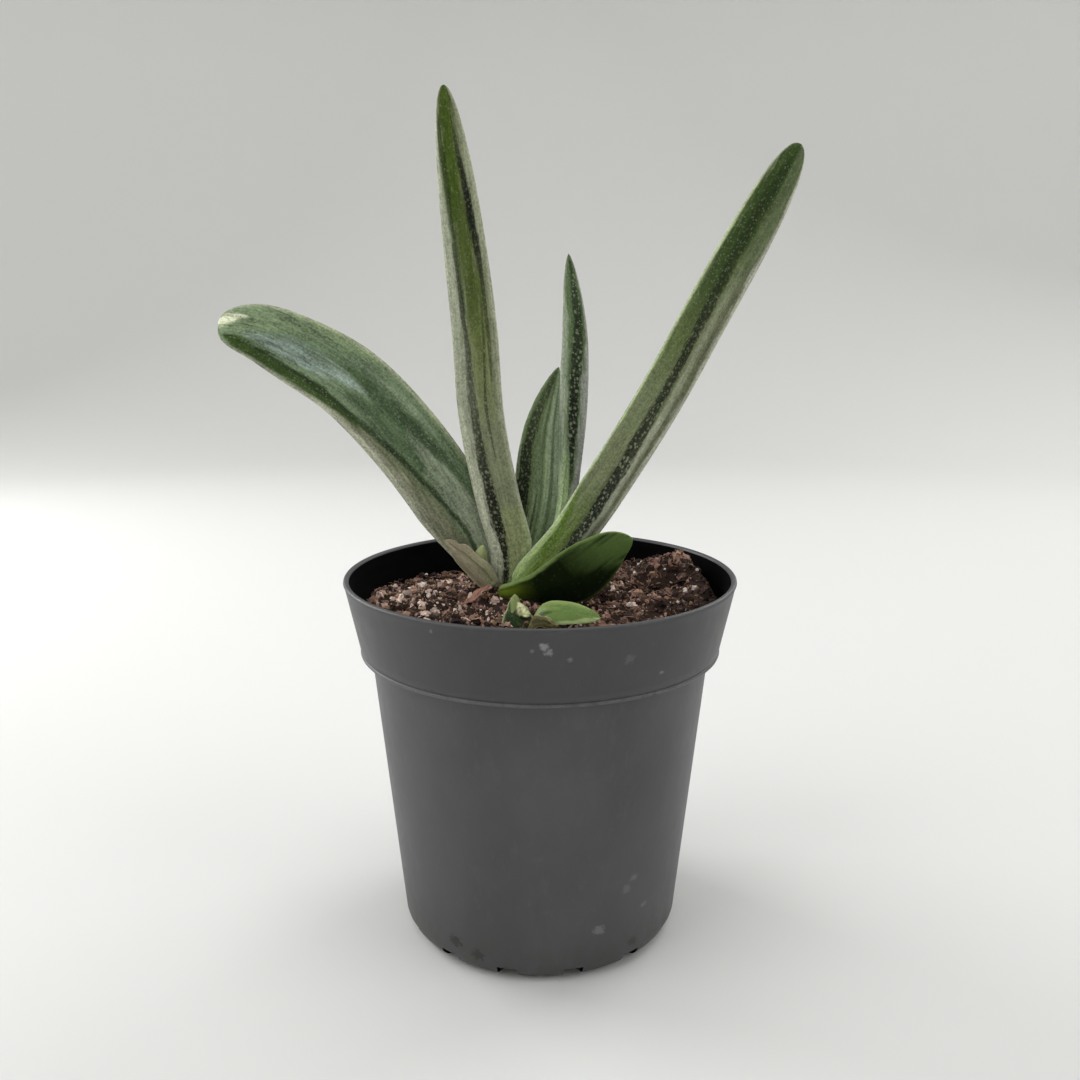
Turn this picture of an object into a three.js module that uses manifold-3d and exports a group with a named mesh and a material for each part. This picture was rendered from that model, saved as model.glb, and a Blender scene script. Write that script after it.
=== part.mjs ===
// A young gasteria growing in its nursery pot, in millimetres.
// +Z is up and the origin is the centre of the pot's flat underside.
// Every leaf, the stem, the soil and the pot are separate closed solids that stand GAP apart.

import * as THREE from 'three';
import { mergeVertices } from 'three/addons/utils/BufferGeometryUtils.js';
import Module from 'manifold-3d';

const wasm = await Module();
wasm.setup();

const GAP = 0.3;
const USUAL_GROWTH = 0.28;

// ---------------------------------------------------------------- driving sizes of the pot
const POT = {
  height: 99,
  rimRadius: 52.5,
  lip: 1.5,
  collarHeight: 20.3,
  collarFootRadius: 48.2,
  collarBead: 0.4,
  collarBeadHeight: 1.1,
  neckRadius: 45.7,
  baseRadius: 37.9,
  cornerRadius: 5,
  wall: 1.2,
  floor: 1.4,
  segments: 48,
  slots: 14,
  slotWidth: 5.4,
  slotHeight: 3.6,
  slotInnerRadius: 32.5,
};
POT.collarFoot = POT.height - POT.collarHeight;

// ---------------------------------------------------------------- driving sizes of the soil
const SOIL = {
  clearance: 0.55,
  level: 92.8,
  backFall: 0.11,
  edgeFall: 4,
  edgeReach: 5.5,
  segments: 36,
  topRings: 9,
  crumb: 0.55,
  // [x, y, height, spread]: heaps pressed up round the crown and against the right-hand wall
  heaps: [[-9, 0, 2.4, 11], [39, 17, 6.2, 15], [22, -14, 1.6, 10], [-30, -12, 1.2, 12]],
  perliteCount: 10,
  perliteRadius: 1.3,
};

// ---------------------------------------------------------------- driving sizes of the plant
const STEM = { x: -8.5, y: 0.5, top: 95.5, bottom: 79, topRadius: 3.4, bottomRadius: 5.2, scars: 5 };

// One entry for each leaf.
//   spine     points from the leaf's root to its tip
//   across    direction from the left margin to the right one, at the root and at the tip
//   width     full width, and rootWidth where the leaf leaves the crown
//   growth    share of the length where the full width is reached, USUAL_GROWTH unless given
//   fall      share of the length where the sides begin to close in; power and blunt shape the tip
//   front     thickness in front of the margins, back the thickness behind them
//   ridge     place of the long ridge on the front face, from -1 to 1, at root, middle and tip
//   ridgeCut  how much of the front is a straight-sided ridge and how much a round cushion
//   grooves   [place, depth, breadth] of the channels that run along the front face
const LEAVES = {
  leaf_tall: {
    spine: [[-8.6, -0.5, 93], [-8.2, -0.5, 105], [-11.4, -1, 119], [-15.2, -2.6, 141], [-16.6, -5, 163.5],
      [-19.8, -8, 194.5], [-22.9, -10.2, 220.3]],
    across: [[1, -0.05, 0], [1, 0.1, 0]],
    width: 12.1, rootWidth: 10, fall: 0.32, power: 2.2, blunt: 0.45,
    front: 2.4, back: 2.3, ridge: [-0.4, -0.2, -0.6], ridgeCut: 0.45,
    grooves: [[-0.42, 0.3, 0.12], [0.42, 0.35, 0.12]],
    sides: 20, rings: 36, wart: 0.14, color: 0x6d7f5c,
  },
  leaf_right: {
    spine: [[-7, -3.5, 94], [-2.5, -4.2, 99.5], [8.3, -4, 110.2], [18.6, -3, 125.4], [31.1, -1, 145.8],
      [43.4, 2, 168.9], [55.5, 4.5, 190.9], [66.1, 6.6, 209.6]],
    across: [[0.7, -0.35, -0.5], [0.84, 0, -0.54]],
    width: 12.9, rootWidth: 11.5, fall: 0.62, power: 4, blunt: 0.37,
    front: 2.9, back: 2.3, ridge: [0.45, 0.45, 0.35], ridgeCut: 0.55,
    grooves: [[0.06, 0.35, 0.12], [0.68, 0.3, 0.1]],
    sides: 20, rings: 36, wart: 0.14, color: 0x70845a,
  },
  leaf_left: {
    spine: [[-10.5, 2.8, 94], [-15.2, 3, 101.5], [-23.8, 2, 117.6], [-36.4, 0, 136.2], [-48.9, -3, 150.4],
      [-60.7, -7, 158.3], [-69.6, -10, 162.6], [-79.3, -12.4, 164.4]],
    across: [[0.85, -0.1, 0.5], [0.6, 0.35, 0.8]],
    width: 21.2, rootWidth: 10.5, fall: 0.3, power: 3, blunt: 0.4,
    front: 3.1, back: 2.2, ridge: [-0.62, -0.62, -0.7], ridgeCut: 0.6,
    grooves: [[0.1, 0.45, 0.45]],
    sides: 20, rings: 36, wart: 0.12, color: 0x6f8a68,
  },
  leaf_centre: {
    spine: [[-4.6, 4.6, 94], [1, 5, 100], [6.2, 6, 112], [8.4, 7.6, 131.1], [9.1, 10, 149.7],
      [8.9, 12, 163], [7.3, 15.2, 183]],
    across: [[0.9, -0.3, 0], [1, -0.25, 0]],
    width: 8.3, rootWidth: 2.4, growth: 0.7, fall: 0.45, power: 2, blunt: 0.55,
    front: 1.9, back: 1.9, ridge: [-0.35, -0.3, -0.1], ridgeCut: 0.5,
    grooves: [[0.28, 0.35, 0.2]],
    sides: 16, rings: 26, wart: 0.14, color: 0x55705a,
  },
  leaf_centre_left: {
    spine: [[-8.6, 6, 94], [-5, 8.4, 101], [-1.2, 10.2, 117], [0.1, 12.4, 132], [1.8, 14.2, 143],
      [4.6, 16, 153]],
    across: [[0.9, -0.2, 0], [1, 0.2, -0.1]],
    width: 12.6, rootWidth: 7.6, fall: 0.3, power: 2.1, blunt: 0.75,
    front: 2, back: 2.1, ridge: [0.1, 0.1, 0.1], ridgeCut: 0.35,
    grooves: [[-0.6, 0.3, 0.15], [0.2, 0.3, 0.1]],
    sides: 16, rings: 20, wart: 0.14, color: 0x48664a,
  },
  leaf_front: {
    spine: [[-11, -6.6, 94.8], [-4.6, -8, 96], [1.2, -9.4, 97.2], [8.2, -10.8, 99.9], [14.2, -12.2, 105.1],
      [18.9, -13, 108.9], [23.8, -13.6, 111.2]],
    across: [[0.3, 0.35, -0.9], [0.4, 0.32, -0.85]],
    width: 18.4, rootWidth: 5, growth: 0.62, fall: 0.34, power: 2.2, blunt: 0.6,
    front: 1.5, back: 1.5, ridge: [0, 0, 0], ridgeCut: 0.15,
    grooves: [[-0.82, -0.25, 0.12]],
    sides: 18, rings: 18, wart: 0.05, color: 0x3f6a2a,
  },
  leaf_stub: {
    spine: [[-15.4, -0.6, 96.8], [-16.2, -1.6, 102.4], [-15.2, -2.4, 107]],
    across: [[1, 0, 0], [1, 0, 0]],
    width: 4.4, rootWidth: 3, fall: 0.35, power: 2, blunt: 0.55,
    front: 1.3, back: 1.2, ridge: [0, 0, 0], ridgeCut: 0.2,
    grooves: [],
    sides: 12, rings: 8, wart: 0, color: 0x8a9a52,
  },
  pup_leaf_torn: {
    spine: [[-4.6, -31.2, 89.5], [-5.6, -29.6, 95], [-6.2, -28, 100.6]],
    across: [[1, -0.1, 0], [1, -0.1, 0]],
    width: 11, rootWidth: 10.4, fall: 0.1, power: 1.15, blunt: 0.72,
    front: 1.7, back: 1.5, ridge: [-0.1, -0.1, -0.1], ridgeCut: 0.7,
    grooves: [],
    sides: 12, rings: 9, wart: 0, color: 0x5c8a4a,
  },
  pup_leaf_small: {
    spine: [[-2.6, -27.6, 90.8], [0.6, -29.6, 95.6], [6.6, -32.6, 96.9], [14.6, -35.4, 96.4]],
    across: [[0.2, -0.9, -0.6], [0.1, -0.8, -0.6]],
    width: 7.2, rootWidth: 2.4, growth: 0.4, fall: 0.45, power: 2, blunt: 0.6,
    front: 0.9, back: 0.9, ridge: [0, 0, 0], ridgeCut: 0.2,
    grooves: [[0, 0.15, 0.3]],
    sides: 12, rings: 10, wart: 0, color: 0x55923f,
  },
};

// Thin dry pieces: flat strips bent along a line, each [root to tip] with its own width.
const DRY = {
  dry_sheath: {
    spine: [[-11.6, -4.6, 95.2], [-15, -4.8, 99.4], [-19.8, -3, 103.4], [-25.2, -1, 107.2]],
    across: [[0.55, 0.3, 0.8], [0.5, -0.1, 0.85]],
    width: 8.8, rootWidth: 6.6, fall: 0.3, power: 2, blunt: 0.7,
    front: 0.45, back: 0.4, ridge: [0, 0, 0], ridgeCut: 0,
    grooves: [], curl: 0.9,
    sides: 12, rings: 9, wart: 0, color: 0x8d8468,
  },
  torn_scrap: {
    spine: [[-2.6, -33, 92.2], [-0.6, -34, 95.4], [4.6, -36.2, 94.4]],
    across: [[0.1, -0.6, -0.8], [0.1, -0.6, -0.8]],
    width: 3.8, rootWidth: 2.8, fall: 0.2, power: 2, blunt: 0.6,
    front: 0.45, back: 0.45, ridge: [0, 0, 0], ridgeCut: 0,
    grooves: [], curl: 0.5,
    sides: 10, rings: 7, wart: 0, color: 0x86804f,
  },
  bark_strip: {
    spine: [[-12.8, -9, 97.6], [-16.8, -12.2, 95.6], [-21.2, -16, 93.6]],
    across: [[0.7, -0.5, 0.3], [0.7, -0.5, 0.3]],
    width: 3, rootWidth: 2, fall: 0.3, power: 2, blunt: 0.5,
    front: 0.5, back: 0.5, ridge: [0, 0, 0], ridgeCut: 0.3,
    grooves: [], curl: 0,
    sides: 8, rings: 7, wart: 0, color: 0x8c5a45,
  },
};

const MATERIALS = {
  pot: { color: 0x4b4b4d, roughness: 0.55, metalness: 0 },
  soil: { color: 0x3c2a20, roughness: 1, metalness: 0 },
  stem: { color: 0x8a8f62, roughness: 0.8, metalness: 0 },
  leaf: { roughness: 0.6, metalness: 0 },
};

// ---------------------------------------------------------------- helpers

const lerp = THREE.MathUtils.lerp;
const smoothstep = THREE.MathUtils.smoothstep;

// A repeatable draw between 0 and 1 for the place with index i.
function draw(i) {
  const wave = Math.sin(i * 127.1 + 311.7) * 43758.5453;
  return wave - Math.floor(wave);
}

// A value given at root, middle and tip, read at share s of the length.
function along([root, middle, tip], s) {
  return s < 0.5 ? lerp(root, middle, s * 2) : lerp(middle, tip, s * 2 - 1);
}

// The geometry with shared vertices merged and only its positions left.
function welded(geometry) {
  const plain = geometry.index ? geometry.clone() : geometry;
  plain.deleteAttribute('normal');
  plain.deleteAttribute('uv');
  return mergeVertices(plain, 1e-4);
}

function toSolid(geometry) {
  const mesh = welded(geometry);
  return new wasm.Manifold(new wasm.Mesh({
    numProp: 3,
    vertProperties: new Float32Array(mesh.attributes.position.array),
    triVerts: new Uint32Array(mesh.index.array),
  }));
}

// The largest body of a solid as a geometry; a cut can leave loose scraps beside it.
function toGeometry(solid) {
  const bodies = solid.decompose();
  const largest = bodies.reduce((best, body) => (body.volume() > best.volume() ? body : best));
  const mesh = largest.getMesh();
  const geometry = new THREE.BufferGeometry();
  geometry.setAttribute('position', new THREE.BufferAttribute(mesh.vertProperties, 3));
  geometry.setIndex(new THREE.BufferAttribute(mesh.triVerts, 1));
  geometry.computeVertexNormals();
  return geometry;
}

// The same shape, swollen outwards by a clearance.
function swollen(geometry, clearance) {
  const mesh = welded(geometry);
  mesh.computeVertexNormals();
  const { position, normal } = mesh.attributes;
  for (let i = 0; i < position.count; i += 1) {
    position.setXYZ(
      i,
      position.getX(i) + normal.getX(i) * clearance,
      position.getY(i) + normal.getY(i) * clearance,
      position.getZ(i) + normal.getZ(i) * clearance,
    );
  }
  return mesh;
}

// Moves every vertex of a geometry to the place that the rule gives for it.
function reshape(geometry, rule) {
  const { position } = geometry.attributes;
  const point = new THREE.Vector3();
  for (let i = 0; i < position.count; i += 1) {
    point.fromBufferAttribute(position, i);
    rule(point);
    position.setXYZ(i, point.x, point.y, point.z);
  }
  return geometry;
}

// A profile of [radius, height] points turned round the Z axis.
function turned(profile, segments) {
  const points = profile.map(([radius, height]) => new THREE.Vector2(radius, height));
  return new THREE.LatheGeometry(points, segments).rotateX(Math.PI / 2);
}

// ---------------------------------------------------------------- pot

// Outer radius of the tapered body and of the collar above it, and the wall's inner radius.
function bodyRadius(z) {
  return lerp(POT.baseRadius, POT.neckRadius, z / POT.collarFoot);
}

function collarRadius(z) {
  return lerp(POT.collarFootRadius, POT.rimRadius, (z - POT.collarFoot) / POT.collarHeight);
}

function innerRadius(z) {
  const outer = z > POT.collarFoot + POT.wall ? collarRadius(z) : bodyRadius(z);
  return outer - POT.wall;
}

// Points of the rounded bottom corner, from the flat base up to the wall.
function cornerArc(radius, inset, steps) {
  const centre = [bodyRadius(POT.cornerRadius) - POT.cornerRadius, POT.cornerRadius];
  return Array.from({ length: steps + 1 }, (_, i) => {
    const angle = (i / steps) * (Math.PI / 2);
    return [
      centre[0] + (radius - inset) * Math.sin(angle),
      centre[1] - (radius - inset) * Math.cos(angle),
    ];
  });
}

// One closed profile: up the outside with the collar and its bead, over the lip and down the inside.
function potGeometry() {
  const { height, rimRadius, lip, wall, floor, neckRadius, collarFoot } = POT;
  const foot = POT.collarFootRadius;
  const bead = POT.collarBead;
  const profile = [
    [0, 0],
    ...cornerArc(POT.cornerRadius, 0, 4),
    [neckRadius, collarFoot],
    [foot + bead * 0.5, collarFoot],
    [foot + bead, collarFoot + POT.collarBeadHeight * 0.5],
    [collarRadius(collarFoot + POT.collarBeadHeight), collarFoot + POT.collarBeadHeight],
    [rimRadius, height - lip * 0.4],
    [rimRadius - lip * 0.3, height],
    [rimRadius - lip * 0.8, height],
    [rimRadius - lip, height - lip * 0.5],
    [innerRadius(height - lip * 2), height - lip * 2],
    [foot - wall, collarFoot + wall],
    [neckRadius - wall, collarFoot - wall * 0.4],
    ...cornerArc(POT.cornerRadius, floor, 2).reverse(),
    [0, floor],
  ];
  return turned(profile, POT.segments);
}

// A drainage slot's cutter: it opens the bottom corner from the side and from below.
function slotGeometry(angle) {
  const { slotWidth, slotHeight, slotInnerRadius, baseRadius } = POT;
  const outline = new THREE.Shape();
  outline.moveTo(slotInnerRadius + slotWidth / 2, slotWidth / 2);
  outline.absarc(slotInnerRadius + slotWidth / 2, 0, slotWidth / 2, Math.PI / 2, Math.PI * 1.5, false);
  outline.lineTo(baseRadius + 5, -slotWidth / 2);
  outline.lineTo(baseRadius + 5, slotWidth / 2);
  const options = { depth: slotHeight + 2, bevelEnabled: false, curveSegments: 3 };
  return new THREE.ExtrudeGeometry(outline, options).translate(0, 0, -2).rotateZ(angle);
}

function potSolid() {
  let solid = toSolid(potGeometry());
  for (let i = 0; i < POT.slots; i += 1) {
    const angle = -Math.PI / 2 + ((i + 0.5) / POT.slots) * Math.PI * 2;
    solid = solid.subtract(toSolid(slotGeometry(angle)));
  }
  return solid;
}

// ---------------------------------------------------------------- soil

// The soil falls towards the back left and to the wall, and is heaped up at the places in SOIL.heaps.
function soilHeight(x, y) {
  const edge = innerRadius(SOIL.level) - SOIL.clearance;
  const toWall = SOIL.edgeFall * smoothstep(Math.hypot(x, y), edge - SOIL.edgeReach, edge);
  const backLeft = SOIL.backFall * Math.max(0, y) * smoothstep(30 - x, 0, 40);
  const heaps = SOIL.heaps.reduce((sum, [cx, cy, height, spread]) => {
    const away = ((x - cx) ** 2 + (y - cy) ** 2) / spread ** 2;
    return sum + height * Math.exp(-away);
  }, 0);
  return SOIL.level - backLeft - toWall + heaps;
}

// Two crossed sets of short waves, the relief of the pressed crumbs.
function crumbs(x, y) {
  const fine = Math.sin(x * 1.9 + y * 0.7) * Math.sin(y * 2.3 - x * 0.4);
  const broad = Math.sin(x * 0.9 - y * 1.1);
  return SOIL.crumb * (fine + broad);
}

// A plug that fills the pot clear of its wall, with a rippled top.
function soilGeometry() {
  const bottom = POT.floor + GAP;
  const corner = POT.cornerRadius + 2;
  const shoulder = POT.collarFoot - POT.wall * 0.4 - GAP;
  const ledge = POT.collarFoot + POT.wall + GAP;
  const edge = innerRadius(SOIL.level) - SOIL.clearance;
  const profile = [
    [0, bottom],
    [bodyRadius(0) - POT.cornerRadius - SOIL.clearance, bottom],
    [innerRadius(corner) - SOIL.clearance, corner],
    [innerRadius(shoulder) - SOIL.clearance, shoulder],
    [POT.collarFootRadius - POT.wall - SOIL.clearance, ledge],
  ];
  for (let ring = 0; ring <= SOIL.topRings; ring += 1) {
    profile.push([edge * (1 - ring / SOIL.topRings), SOIL.level]);
  }
  return reshape(turned(profile, SOIL.segments), (point) => {
    if (point.z < SOIL.level - 0.01) {
      return;
    }
    const radius = Math.hypot(point.x, point.y);
    const atWall = radius > edge - 0.01;
    point.z = soilHeight(point.x, point.y) + (atWall ? 0 : crumbs(point.x, point.y));
    if (atWall) {
      const scale = (innerRadius(point.z) - SOIL.clearance) / radius;
      point.x *= scale;
      point.y *= scale;
    }
  });
}

// Perlite grains that stand half out of the surface, scattered on a sunflower spiral.
function perliteGeometries() {
  const goldenAngle = Math.PI * (3 - Math.sqrt(5));
  return Array.from({ length: SOIL.perliteCount }, (_, i) => {
    const reach = 18 + 26 * Math.sqrt((i + 0.5) / SOIL.perliteCount);
    const angle = i * goldenAngle + draw(i);
    const x = reach * Math.cos(angle);
    const y = reach * Math.sin(angle);
    const size = SOIL.perliteRadius * lerp(0.8, 1.15, draw(i + 50));
    const grain = new THREE.IcosahedronGeometry(size, 0).rotateX(draw(i + 90) * 3);
    return grain.translate(x, y, soilHeight(x, y) + crumbs(x, y) + size * 0.1);
  });
}

// ---------------------------------------------------------------- plant

// The short stem: a tapering cone with a low ring for each old leaf scar.
function stemGeometry() {
  const length = STEM.top - STEM.bottom;
  const profile = [[0, STEM.bottom]];
  for (let i = 0; i <= STEM.scars * 2; i += 1) {
    const share = i / (STEM.scars * 2);
    const scar = i % 2 === 0 ? 0 : 0.4;
    profile.push([lerp(STEM.bottomRadius, STEM.topRadius, share) + scar, STEM.bottom + share * length]);
  }
  profile.push([0, STEM.top + 0.4]);
  return turned(profile, 14).translate(STEM.x, STEM.y, 0);
}

// Half the leaf's width at share s: it widens out of the crown and closes to the tip.
function halfWidth(leaf, s) {
  const full = lerp(leaf.rootWidth, leaf.width, smoothstep(s, 0, leaf.growth ?? USUAL_GROWTH)) / 2;
  return full * closing(leaf, s);
}

// 1 along the leaf's body, falling to 0 at the root's end and round to 0 at the tip.
function closing(leaf, s) {
  const tip = Math.max(0, (s - leaf.fall) / (1 - leaf.fall));
  const root = Math.min(1, s / 0.05);
  return (1 - tip ** leaf.power) ** leaf.blunt * Math.sqrt(1 - (1 - root) ** 2);
}

// Height of the front face over the margins, for place p across the leaf and fullness q.
function frontHeight(leaf, s, p, q) {
  const top = along(leaf.ridge, s);
  const straight = p < top ? (p + 1) / (top + 1) : (1 - p) / (1 - top);
  const cushion = q ** 0.8;
  const channels = leaf.grooves.reduce(
    (sum, [place, depth, breadth]) => sum + depth * Math.exp(-(((p - place) / breadth) ** 2)),
    0,
  );
  return leaf.front * lerp(cushion, straight, leaf.ridgeCut) - channels * q;
}

// A leaf is a sphere whose poles are the root and the tip, drawn out along the spine.
// At each ring the circle becomes the leaf's own section: a ridged front and a keeled back.
function leafGeometry(leaf) {
  const curve = new THREE.CatmullRomCurve3(leaf.spine.map((point) => new THREE.Vector3(...point)));
  const [rootAcross, tipAcross] = leaf.across.map((direction) => new THREE.Vector3(...direction));
  const ringStep = Math.PI / leaf.rings;
  const sideStep = (Math.PI * 2) / leaf.sides;
  const sphere = new THREE.SphereGeometry(1, leaf.sides, leaf.rings);
  return reshape(welded(sphere), (point) => {
    const lift = Math.acos(THREE.MathUtils.clamp(point.y, -1, 1));
    const even = 1 - lift / Math.PI;
    const s = even - (0.6 * Math.sin(even * Math.PI * 2)) / (Math.PI * 2);
    const round = Math.hypot(point.x, point.z);
    const p = round > 1e-6 ? point.x / round : 0;
    const q = round > 1e-6 ? point.z / round : 0;
    const tangent = curve.getTangentAt(s);
    const across = rootAcross.clone().lerp(tipAcross, s);
    across.addScaledVector(tangent, -across.dot(tangent)).normalize();
    const facing = across.clone().cross(tangent);
    const full = closing(leaf, s) ** 0.8;
    const keel = 0.75 * Math.abs(q) ** 0.8 + 0.25 * Math.exp(-((p / 0.35) ** 2));
    const height = q > 0 ? frontHeight(leaf, s, p, q) : -leaf.back * keel * Math.abs(Math.sign(q));
    const ringIndex = Math.round(lift / ringStep);
    const sideIndex = Math.round(Math.atan2(point.z, point.x) / sideStep);
    const wart = (ringIndex + sideIndex) % 2 === 0 ? leaf.wart : 0;
    const curl = (leaf.curl ?? 0) * (1 - p * p);
    point.copy(curve.getPointAt(s));
    point.addScaledVector(across, halfWidth(leaf, s) * p + wart * p);
    point.addScaledVector(facing, (height + wart * q + curl) * full);
  });
}

// ---------------------------------------------------------------- assembly

// The plant's pieces from the outermost at the crown inwards: each one is cut clear of those before it.
const plantOrder = [
  'leaf_front', 'leaf_right', 'leaf_tall', 'leaf_left', 'leaf_centre', 'leaf_centre_left',
  'leaf_stub', 'dry_sheath', 'pup_leaf_torn', 'pup_leaf_small', 'torn_scrap', 'bark_strip',
];

function addMesh(group, name, solid, look) {
  const mesh = new THREE.Mesh(toGeometry(solid), new THREE.MeshStandardMaterial(look));
  mesh.name = name;
  group.add(mesh);
}

const group = new THREE.Group();

addMesh(group, 'pot', potSolid(), MATERIALS.pot);

const stem = stemGeometry();
addMesh(group, 'stem', toSolid(stem), MATERIALS.stem);

let taken = toSolid(swollen(stem, GAP * 1.3));
plantOrder.forEach((name) => {
  const piece = LEAVES[name] ?? DRY[name];
  const geometry = leafGeometry(piece);
  addMesh(group, name, toSolid(geometry).subtract(taken), { ...MATERIALS.leaf, color: piece.color });
  taken = taken.add(toSolid(swollen(geometry, GAP * 1.3)));
});

let soil = toSolid(soilGeometry());
perliteGeometries().forEach((grain) => {
  soil = soil.add(toSolid(grain));
});
addMesh(group, 'soil', soil.subtract(taken), MATERIALS.soil);

export default group;
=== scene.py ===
# %% [markdown]
# # A young gasteria in its grey nursery pot
# This notebook dresses a small succulent: a fan of thick, warty leaves that rise from a short stem,
# some dried and broken leaf remains round the crown, a bed of peat with perlite, and a thin plastic pot.
# The engineering model gives every piece its place and size. Here each of its plain solids is replaced
# by a finer mesh of the same form, with a finish of its own. Lengths in the cells are millimetres, and
# they are turned into Blender's metres only when a mesh is written.

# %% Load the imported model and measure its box
import math

import bpy
import numpy as np
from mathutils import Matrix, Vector, noise


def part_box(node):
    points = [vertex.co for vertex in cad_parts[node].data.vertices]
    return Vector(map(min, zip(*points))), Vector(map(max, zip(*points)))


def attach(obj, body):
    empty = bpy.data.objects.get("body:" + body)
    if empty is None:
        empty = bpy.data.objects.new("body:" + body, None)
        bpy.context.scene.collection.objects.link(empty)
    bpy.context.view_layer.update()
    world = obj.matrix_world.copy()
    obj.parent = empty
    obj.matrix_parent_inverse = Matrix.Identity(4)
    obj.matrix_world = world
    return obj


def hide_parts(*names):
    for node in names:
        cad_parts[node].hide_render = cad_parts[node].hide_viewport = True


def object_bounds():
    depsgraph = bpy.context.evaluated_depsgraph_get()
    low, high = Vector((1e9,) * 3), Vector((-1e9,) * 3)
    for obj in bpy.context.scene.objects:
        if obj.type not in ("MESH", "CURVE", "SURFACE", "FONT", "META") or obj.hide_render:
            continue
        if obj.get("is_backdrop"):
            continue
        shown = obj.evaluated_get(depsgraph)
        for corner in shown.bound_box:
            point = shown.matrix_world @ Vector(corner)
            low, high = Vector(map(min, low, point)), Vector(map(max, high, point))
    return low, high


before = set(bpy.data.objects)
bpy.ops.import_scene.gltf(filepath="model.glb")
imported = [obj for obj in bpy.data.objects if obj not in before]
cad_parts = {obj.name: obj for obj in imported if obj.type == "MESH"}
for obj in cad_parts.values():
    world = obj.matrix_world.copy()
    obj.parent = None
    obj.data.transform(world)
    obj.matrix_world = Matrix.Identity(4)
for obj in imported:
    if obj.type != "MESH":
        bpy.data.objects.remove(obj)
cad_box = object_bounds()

MM = 0.001
print("nodes:", ", ".join(sorted(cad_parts)))

# %% [markdown]
# ## The eye
# The plant is looked at from a little above the rim, about 28 cm away. A 35 mm lens on a full-frame
# sensor gives the same gentle perspective: the rim opens to a slim ellipse and the pot's sides lean in.
# The camera is turned by a plain pitch, because a tracking constraint would hide the angle.

# %% Camera
EYE = Vector((0, -275.6, 169.1)) * MM
PITCH_DOWN = 12.56

bpy.ops.object.camera_add(location=EYE, rotation=(math.radians(90 - PITCH_DOWN), 0, 0))
camera = bpy.context.object
camera.data.sensor_width = 36
camera.data.lens = 35
camera.data.clip_start = 0.01
bpy.context.scene.camera = camera
bpy.context.scene.view_settings.view_transform = "Standard"
print("camera at", [round(value, 4) for value in camera.location])

# %% [markdown]
# ## Small helpers for every piece
# Operators act on whatever is selected, and the loaded model is selected after the import. So each
# piece begins by clearing the selection. `read_points` and `write_points` move a whole mesh in and out
# of a numpy array, which is how shapes that follow a formula are laid in place.

# %% Selection and mesh arrays
def deselect_all():
    if bpy.context.mode != "OBJECT":
        bpy.ops.object.mode_set(mode="OBJECT")
    bpy.ops.object.select_all(action="DESELECT")


def select_only(piece):
    deselect_all()
    piece.select_set(True)
    bpy.context.view_layer.objects.active = piece


def read_points(piece):
    points = np.zeros(len(piece.data.vertices) * 3, np.float32)
    piece.data.vertices.foreach_get("co", points)
    return points.reshape(-1, 3).astype(float)


def write_points(piece, points):
    piece.data.vertices.foreach_set("co", np.asarray(points, np.float32).ravel())
    piece.data.update()


def paint(piece, name, values):
    """Stores one number for each vertex, for a finish to read."""
    layer = piece.data.attributes.new(name, "FLOAT", "POINT")
    layer.data.foreach_set("value", np.asarray(values, np.float32).ravel())


def smoothstep(low, high, value):
    share = np.clip((value - low) / (high - low), 0, 1)
    return share * share * (3 - 2 * share)


def hand_over(piece, node, finish):
    """The last step of every piece: its finish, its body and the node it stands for."""
    piece.data.materials.clear()
    piece.data.materials.append(finish)
    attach(piece, "root")
    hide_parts(node)
    triangles = sum(len(face.vertices) - 2 for face in piece.data.polygons)
    print(f"{piece.name}: {triangles} triangles")


# %% [markdown]
# ## Shader helpers
# A finish is a short chain of nodes. `add_node` makes one node and takes either numbers or the sockets
# of other nodes as its inputs, so that a chain reads like a formula. The smaller helpers are the steps
# that every finish uses: a soft threshold, a mix of two colours and a noise in millimetres.

# %% Node helpers
def tone(code):
    """A colour written as #rrggbb, turned into the linear values that a shader takes."""
    values = [int(code[i:i + 2], 16) / 255 for i in (1, 3, 5)]
    return [v / 12.92 if v <= 0.04045 else ((v + 0.055) / 1.055) ** 2.4 for v in values] + [1]


def feed(tree, node, inputs):
    """Links each socket to its input, and writes each plain number or colour into it."""
    for name, value in dict(inputs).items():
        if isinstance(value, bpy.types.NodeSocket):
            tree.links.new(value, node.inputs[name])
        else:
            node.inputs[name].default_value = value


def add_node(tree, kind, inputs=(), **settings):
    made = tree.nodes.new("ShaderNode" + kind)
    for name, value in settings.items():
        setattr(made, name, value)
    feed(tree, made, inputs)
    return made


def calc(tree, operation, first, second=0.0):
    return add_node(tree, "Math", {0: first, 1: second}, operation=operation).outputs[0]


def times(tree, first, second):
    return calc(tree, "MULTIPLY", first, second)


def around_zero(tree, pattern, reach):
    """A pattern that runs from 0 to 1, moved so that it swings about 0."""
    return times(tree, calc(tree, "SUBTRACT", pattern, 0.5), reach)


def soft_step(tree, value, low, high):
    inputs = {"Value": value, "From Min": low, "From Max": high}
    return add_node(tree, "MapRange", inputs, interpolation_type="SMOOTHSTEP").outputs[0]


def spread_to(tree, value, low, high, start=0.0, stop=1.0):
    """A value that runs from start to stop, laid out evenly from low to high."""
    inputs = {"Value": value, "From Min": start, "From Max": stop, "To Min": low, "To Max": high}
    return add_node(tree, "MapRange", inputs).outputs[0]


def mix(tree, amount, first, second):
    inputs = {0: amount, 6: first, 7: second}
    return add_node(tree, "Mix", inputs, data_type="RGBA").outputs[2]


def cover(tree, colour, code, amount, strength=None):
    """The colour under a coat of another; amount says where it lies, and strength thins it all over."""
    coat = amount if strength is None else times(tree, amount, strength)
    return mix(tree, coat, colour, tone(code))


def scaled(tree, vector, factor):
    return add_node(tree, "VectorMath", {0: vector, "Scale": factor}, operation="SCALE").outputs[0]


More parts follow.
